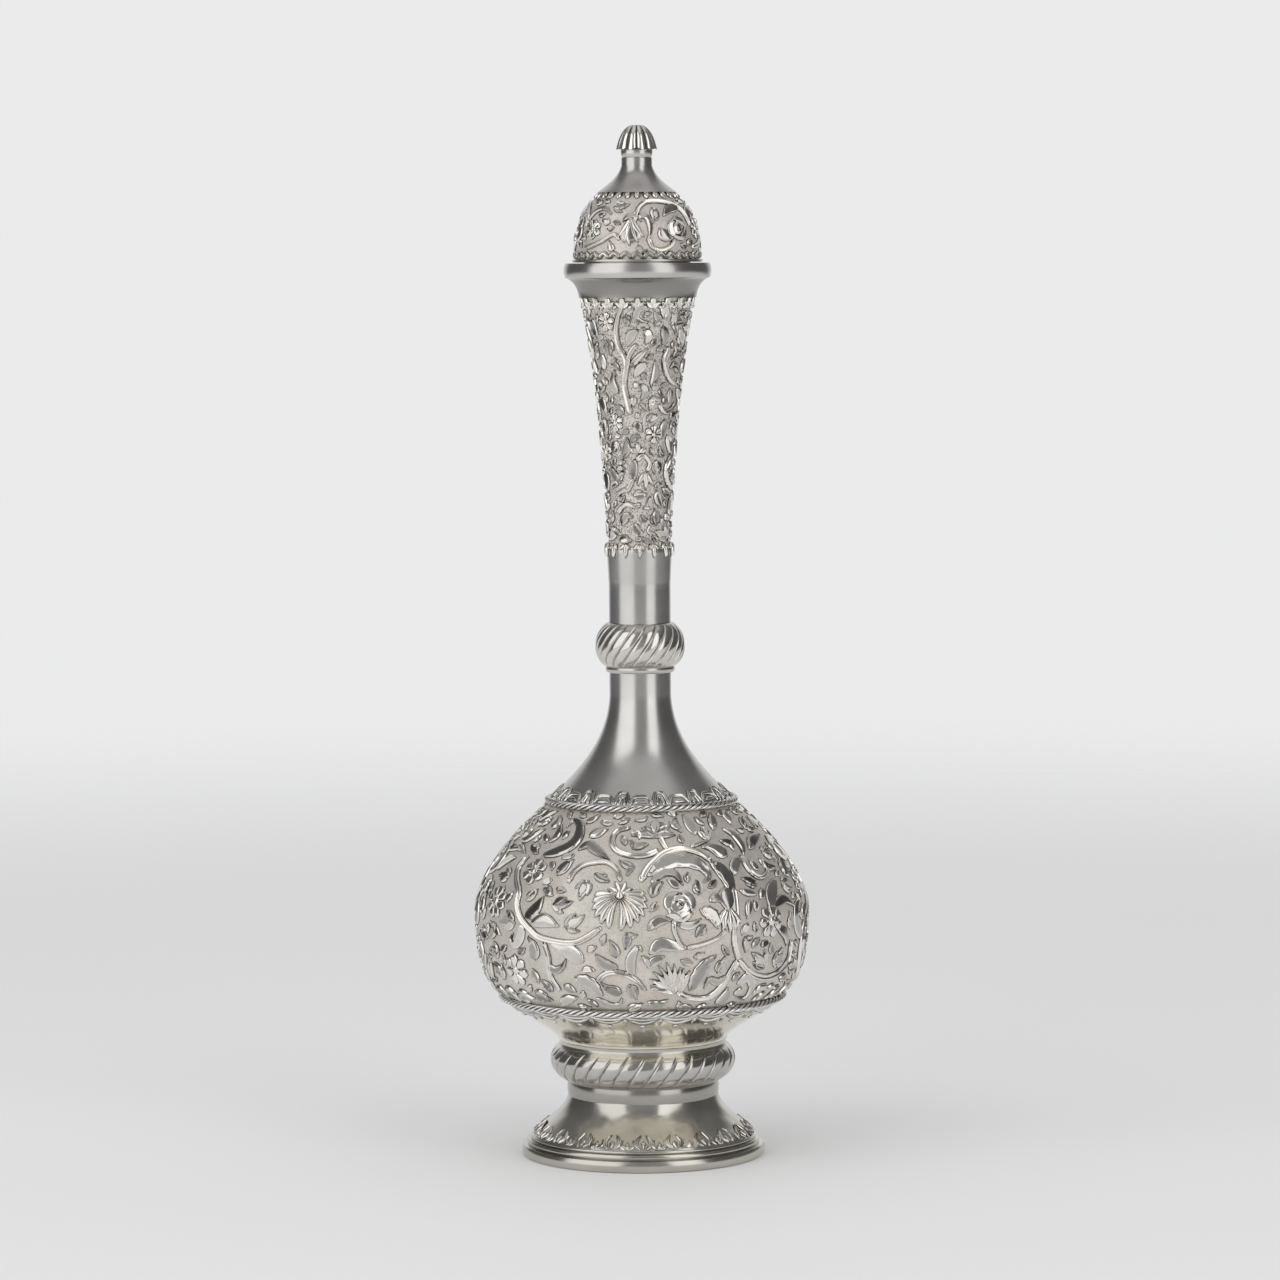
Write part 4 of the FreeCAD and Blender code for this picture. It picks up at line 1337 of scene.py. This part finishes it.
def neck_ornament(work):
    """Half of the chased neck: climbing stems with small leaves, buds and berries."""
    work.stem(((-12, 253), (-16, 257.5), (-19.5, 263), (-15.5, 268.5), (-17.5, 272.5),
               (-23.5, 275.5), (-26, 280.5), (-23, 285), (-16.5, 289.5)), 1.7)
    work.stem(((-1, 276.3), (-6, 275), (-11, 272.5), (-14.5, 268)), 1.4)
    work.leaf(((9.5, 288.7), (0.5, 288), (-1.5, 285.2), (5.5, 284), (12, 284)), 2.0, rolled,
              hook_width)
    work.leaf(((-1, 281.8), (6, 283), (13, 281.8)), 1.7)
    work.leaf(((7, 281), (13.5, 279.5), (9.5, 276.5)), 2.0, rolled)
    work.leaf(((0, 281), (-8, 279.5), (-12, 275.8)), 2.4, rolled)
    work.leaf(((-10, 269), (1, 272), (12, 275)), 1.8)
    work.leaf(((11, 270), (2.5, 268.3), (-5, 265.3)), 2.3, rolled)
    work.boss((-3, 262.8), 1.9)
    work.boss((-1, 252.5), 1.9)
    work.leaf(((4, 263), (10.5, 260.5), (4, 257.6)), 1.9, rolled)
    work.leaf(((-7, 259), (-6.5, 255.5)), 1.8, domed)
    work.leaf(((2, 256.5), (10.5, 254)), 1.8)
    work.leaf(((-8.5, 249), (-2, 249.2), (6, 247)), 2.0, rolled)
    work.leaf(((-11, 243.5), (-5, 245.3), (3, 245)), 1.8)
    work.fan((-1, 239.8), (-62, 0, 62), (2.9, 3.4, 2.9), 1.9, domed)
    work.leaf(((-7, 237.5), (-8.5, 234), (-6.5, 230.5)), 2.0, rolled)
    work.stem(((-3, 237.3), (4, 238.8), (11, 238.6), (18.5, 236.3), (14, 233.8)), 1.3)
    work.fan((11, 233.2), (150, 180, 210), (5, 5.6, 5), 1.7, domed, leaf_width, 14)
    work.leaf(((31, 290), (30, 285)), 2.6, veined)
    work.leaf(((30, 282.5), (34, 279), (31.5, 275.8)), 2.4, rolled)
    work.leaf(((24, 274), (31, 275.2), (38, 273.5)), 1.6)
    work.stem(((40, 275.5), (35, 270), (43, 265.4), (52, 263.5), (63, 263)), 1.5)
    work.leaf(((47, 268.5), (56, 269), (66, 266.6)), 2.2)
    work.leaf(((50, 261.3), (51, 259), (48, 256.6)), 2.0, domed)
    work.stem(((66, 256.5), (57, 254.5), (48, 253.6), (38, 253.8), (31.5, 256)), 1.4)
    work.leaf(((47, 250.8), (42, 248.5), (39.5, 244.5)), 2.4, rolled)
    work.leaf(((50, 245.5), (56, 243), (58, 239.5)), 2.4, veined)
    work.stem(((69, 239.5), (58, 237), (50.5, 234), (55, 230), (67, 228), (79, 227.5)), 1.5)
    work.leaf(((33, 227), (37, 223.5), (44, 221)), 2.3)
    work.leaf(((72, 224.5), (70, 221), (66, 217.5)), 2.2, rolled)
    work.leaf(((-65, 290), (-68, 285.5)), 2.4, veined)
    work.leaf(((-61, 285), (-59, 281.5), (-53, 279)), 2.2, rolled)
    work.stem(((-88, 283), (-79, 279.5), (-73, 275.5), (-75, 271), (-65, 266.5)), 1.5)
    work.leaf(((-55, 273), (-51, 271.5), (-48, 268)), 2.2, rolled)
    work.leaf(((-66, 264), (-60, 261.5), (-52, 262.5)), 2.0)
    work.leaf(((-69, 258), (-61, 256.6), (-53, 253.5)), 2.1, rolled)
    work.leaf(((-67, 251.5), (-61, 249.5), (-57, 246)), 2.1)
    work.blossom((-63, 240), 6, 6.0, 10)
    work.leaf(((-75, 233), (-69, 231), (-65, 227)), 2.3, rolled)
    work.stem(((-90, 226), (-82, 222.5), (-73, 220.5), (-65, 222.5)), 1.4)
    work.stem(((-42, 225.5), (-30, 227), (-19, 227.5), (-10, 231)), 1.5)
    work.stem(((-41, 219.5), (-30, 221.8), (-19.5, 222.5), (-9, 221.8), (3, 222.5)), 1.5)
    work.leaf(((-34, 215.5), (-24, 218.4), (-12, 218.4)), 2.4, rolled)
    work.leaf(((-8, 216), (-1, 213.2), (8, 213)), 1.9)
    work.leaf(((3, 218.6), (8, 217), (15, 217.5)), 1.6)
    work.blossom((-38, 284), 6, 6.2, 15)
    work.blossom((-37, 250), 6, 5.8, 0)
    work.leaf(((-47, 240), (-40, 243), (-31, 241)), 2.2, rolled, hook_width)
    work.leaf(((-26, 238), (-20, 241), (-18, 245)), 2.2, veined)
    work.leaf(((-30, 260), (-37, 263.5), (-33, 268)), 2.2, rolled, hook_width)
    work.leaf(((18, 262), (24, 266), (22, 271)), 2.2, veined)
    work.blossom((24, 246), 6, 5.8, 0)
    work.leaf(((26, 233), (33, 236), (39, 233)), 2.2, rolled)


def dome_ornament(work):
    """A third of the lid's dome: a hanging bud under an arch, a bell and a peony."""
    work.stem(((-2, 317.5), (-1, 320), (4, 322.7), (14, 324), (28, 324), (45, 323),
               (57, 320.5), (62, 316)), 1.3)
    work.leaf(((-7, 317.5), (-6, 313.5), (-5, 310.5)), 5.6, domed, drop_width)
    work.fan((-6, 318.6), (146, 163, 180, 197, 214), (7.6, 8.6, 9.4, 8.6, 7.6), 2.3, domed,
             leaf_width, -34)
    work.leaf(((-14, 317.5), (-9, 319.3), (-1, 319.3), (4, 317.5)), 1.4, rolled)
    work.leaf(((1, 318.5), (7, 319.5), (12, 317.5), (12.5, 313.5), (9, 311)), 1.8, rolled,
              hook_width)
    work.leaf(((1, 309.5), (4, 307.3), (9, 308)), 1.5, rolled, hook_width)
    work.stem(((-58, 309), (-49, 309.3), (-35, 311), (-23, 313.2), (-17, 311.5)), 1.3)
    work.stem(((11, 312), (14, 309), (23, 307.8), (32, 309), (38, 311.5)), 1.3)
    work.leaf(((22, 315), (27, 312.5), (33, 311)), 3.0, domed)
    work.crescents((43, 315.2), ((3.4, 150, 150, 1.9), (3.3, 30, 120, 1.9),
                                 (3.3, -90, 120, 1.9), (1.7, 60, 180, 1.5),
                                 (1.6, -120, 180, 1.5)))
    work.leaf(((17, 322), (19, 319.5), (16, 317)), 2.4, veined)
    work.leaf(((52, 321.6), (39, 321.7), (28, 319.3)), 2.2, rolled)
    work.leaf(((-57, 318), (-52, 321), (-39, 322), (-28, 320)), 1.9, rolled, hook_width)
    work.leaf(((-28, 317), (-37, 318)), 2.0, domed)
    work.blossom((-47, 315), 6, 6.4, 0)
    work.leaf(((-27, 311), (-24, 307.5)), 2.0, domed, drop_width)
    work.leaf(((-30, 315), (-23, 315.5)), 1.5)


def skirt_leaf(work, angle):
    """A three-lobed leaf with hollowed lobes, standing on the foot."""
    step = 360 / SKIRT_LEAVES
    foot = SKIRT_LOW.z / MM + 0.35
    for side in (-1, 1):
        work.leaf(((angle + side * step * 0.46, foot), (angle + side * step * 0.30, foot + 1.3),
                   (angle + side * step * 0.34, foot + 2.6)), 1.5, rolled, hook_width)
        work.leaf(((angle + side * step * 0.10, foot), (angle + side * step * 0.24, foot + 1.9),
                   (angle + side * step * 0.10, foot + 3.9)), 1.4, grooved, leaf_width)
    work.leaf(((angle, foot + 0.3), (angle, foot + 2.2)), 1.6, domed, drop_width)
    work.leaf(((angle - step / 2, foot + 0.1), (angle - step / 2, foot + 2.0)), 1.3, domed)


def cup_swag(work, angle):
    """A swag under the rope, with a bead hanging from it."""
    step = 360 / CUP_SWAGS
    top = CUP_HIGH.z / MM - 1.3
    spots = np.linspace(-0.5, 0.5, 7)
    for drop, width in ((2.3, 1.1), (1.0, 1.0)):
        line = [(angle + step * x, top - drop * (1 - 4 * x * x)) for x in spots]
        work.leaf(line, width, domed, stem_width)
    work.boss((angle, top - 3.6), 1.5)
    work.leaf(((angle + step / 2, top - 0.7), (angle + step / 2, top - 3.2)), 1.2, domed)


def cone_arch(work, angle):
    """A wide double arch over the rope, with a bright leaf in it, and a narrow one beside."""
    step = 360 / CONE_ARCHES
    foot = CONE_LOW.z / MM + 1.0
    spots = np.linspace(-1, 1, 7)
    for middle, reach, rise, width in ((0, 0.30, 2.7, 1.1), (0.5, 0.19, 3.9, 1.1),
                                       (0.5, 0.08, 2.2, 0.9)):
        line = [(angle + step * (middle + reach * x), foot + rise * (1 - x ** 4))
                for x in spots]
        work.leaf(line, width, grooved, stem_width)
    work.leaf(((angle - step * 0.17, foot + 0.7), (angle, foot + 1.1),
               (angle + step * 0.17, foot + 0.7)), 1.5, flat_topped)


def neck_top_tip(work, angle):
    """A three-lobed leaf that points up to the rim, and a bead beside it."""
    foot = CHASED_NECK_TOP - 3.4
    work.fan((angle, foot), (-50, 0, 50), (3.0, 4.8, 3.0), 1.9, cupped, leaf_width, 30)
    work.boss((angle + 180 / NECK_TOP_TIPS, foot + 0.4), 1.2)


def neck_foot_tip(work, angle):
    """A leaf tip that points down the plain tube."""
    foot = CHASED_NECK_FOOT + 1.6
    work.fan((angle, foot), (132, 180, 228), (2.2, 4.2, 2.2), 1.5, domed, leaf_width, 20)


def dome_top_tip(work, angle):
    """A scallop with a tip, round the foot of the spire."""
    top = DOME_HIGH.z / MM
    work.fan((angle, top - 2.2), (0,), (3.4,), 1.9, cupped, leaf_width)


def dome_foot_arc(work, angle):
    """A small arch on the dome's lower edge."""
    step = 360 / DOME_ARCS
    foot = DOME_LOW.z / MM + 0.5
    work.leaf(((angle - step / 2, foot), (angle, foot + 1.5), (angle + step / 2, foot)), 1.0,
              domed, stem_width)


def main():
    """Dress the whole surahi and its studio."""
    silver = polished_silver("polished_silver", (0.54, 0.53, 0.51), (0.66, 0.65, 0.63))
    warm = polished_silver("warm_polished_silver", (0.51, 0.495, 0.45), (0.64, 0.62, 0.56),
                           (0.18, 0.22))
    golden = polished_silver("golden_polished_silver", (0.78, 0.74, 0.63), (0.94, 0.905, 0.79),
                             (0.10, 0.18))
    matted = matted_silver("matted_silver", 0.25)
    grained = matted_silver("grained_silver", 0.9, (0.28, 0.5))
    bright = chased_silver()
    cord = rope_silver()
    inner = inner_silver()
    skirt = foot_pieces(warm, bright)
    walls = body_pieces(silver, golden, matted, grained)
    rope("belly_rope", CUP_HIGH.x + ROPE_SEAT, CUP_HIGH.z, cord, "belly_rope_wire")
    rope("shoulder_rope", CONE_HIGH.x + ROPE_SEAT, CONE_LOW.z, cord, "shoulder_rope_wire")
    ring_pieces(silver, bright)
    mouth_pieces(silver)
    dome_wall = lid_pieces(silver, matted, bright)
    for node in ("neck_sleeve", "finial_stud", "finial_washer", "finial_nut"):
        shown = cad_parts[node]
        shown.data.materials.clear()
        shown.data.materials.append(inner)

    blanks = [Blank(across, along) for across, along in BLANK_CELLS]
    belly = Ornament(Wall(np.vstack((walls["lower"], walls["upper"][1:]))), blanks,
                     fullness=1.4)
    belly_ornament(belly)
    belly.turned_copies(2)
    for size in ((3.3, 8.0, 3), (2.8, 5.8, 2), (2.2, 4.0, 1)):
        belly.fill(*CHASED_BELLY, *size, gap=0.2, step=1.0)
    belly.pieces("belly", bright, "vessel")

    neck = Ornament(Wall(walls["neck"]), blanks, fullness=1.3)
    neck_ornament(neck)
    neck.turned_copies(2)
    neck.border(NECK_TOP_TIPS, neck_top_tip)
    neck.border(NECK_FOOT_TIPS, neck_foot_tip)
    for size in ((2.9, 6.2, 3), (2.3, 4.4, 2), (1.8, 2.8, 1)):
        neck.fill(CHASED_NECK_FOOT + 1, CHASED_NECK_TOP - 2, *size, gap=0.0, step=0.7)
    neck.pieces("neck", bright, "vessel")

    dome = Ornament(Wall(dome_wall), blanks, fullness=1.3)
    dome_ornament(dome)
    dome.turned_copies(3)
    dome.border(DOME_TIPS, dome_top_tip)
    dome.border(DOME_ARCS, dome_foot_arc)
    for size in ((2.3, 5.0, 3), (1.9, 3.6, 2), (1.6, 2.8, 1)):
        dome.fill(*CHASED_DOME, *size, gap=0.2, step=0.8)
    dome.pieces("dome", bright, "lid")

    for name, outline, count, unit in (("skirt", skirt, SKIRT_LEAVES, skirt_leaf),
                                       ("cup", walls["cup"], CUP_SWAGS, cup_swag),
                                       ("cone", walls["cone"], CONE_ARCHES, cone_arch)):
        edge = Ornament(Wall(outline), blanks, BORDER_RELIEF)
        edge.border(count, unit)
        edge.pieces(name, bright, "vessel")
    studio()


main()
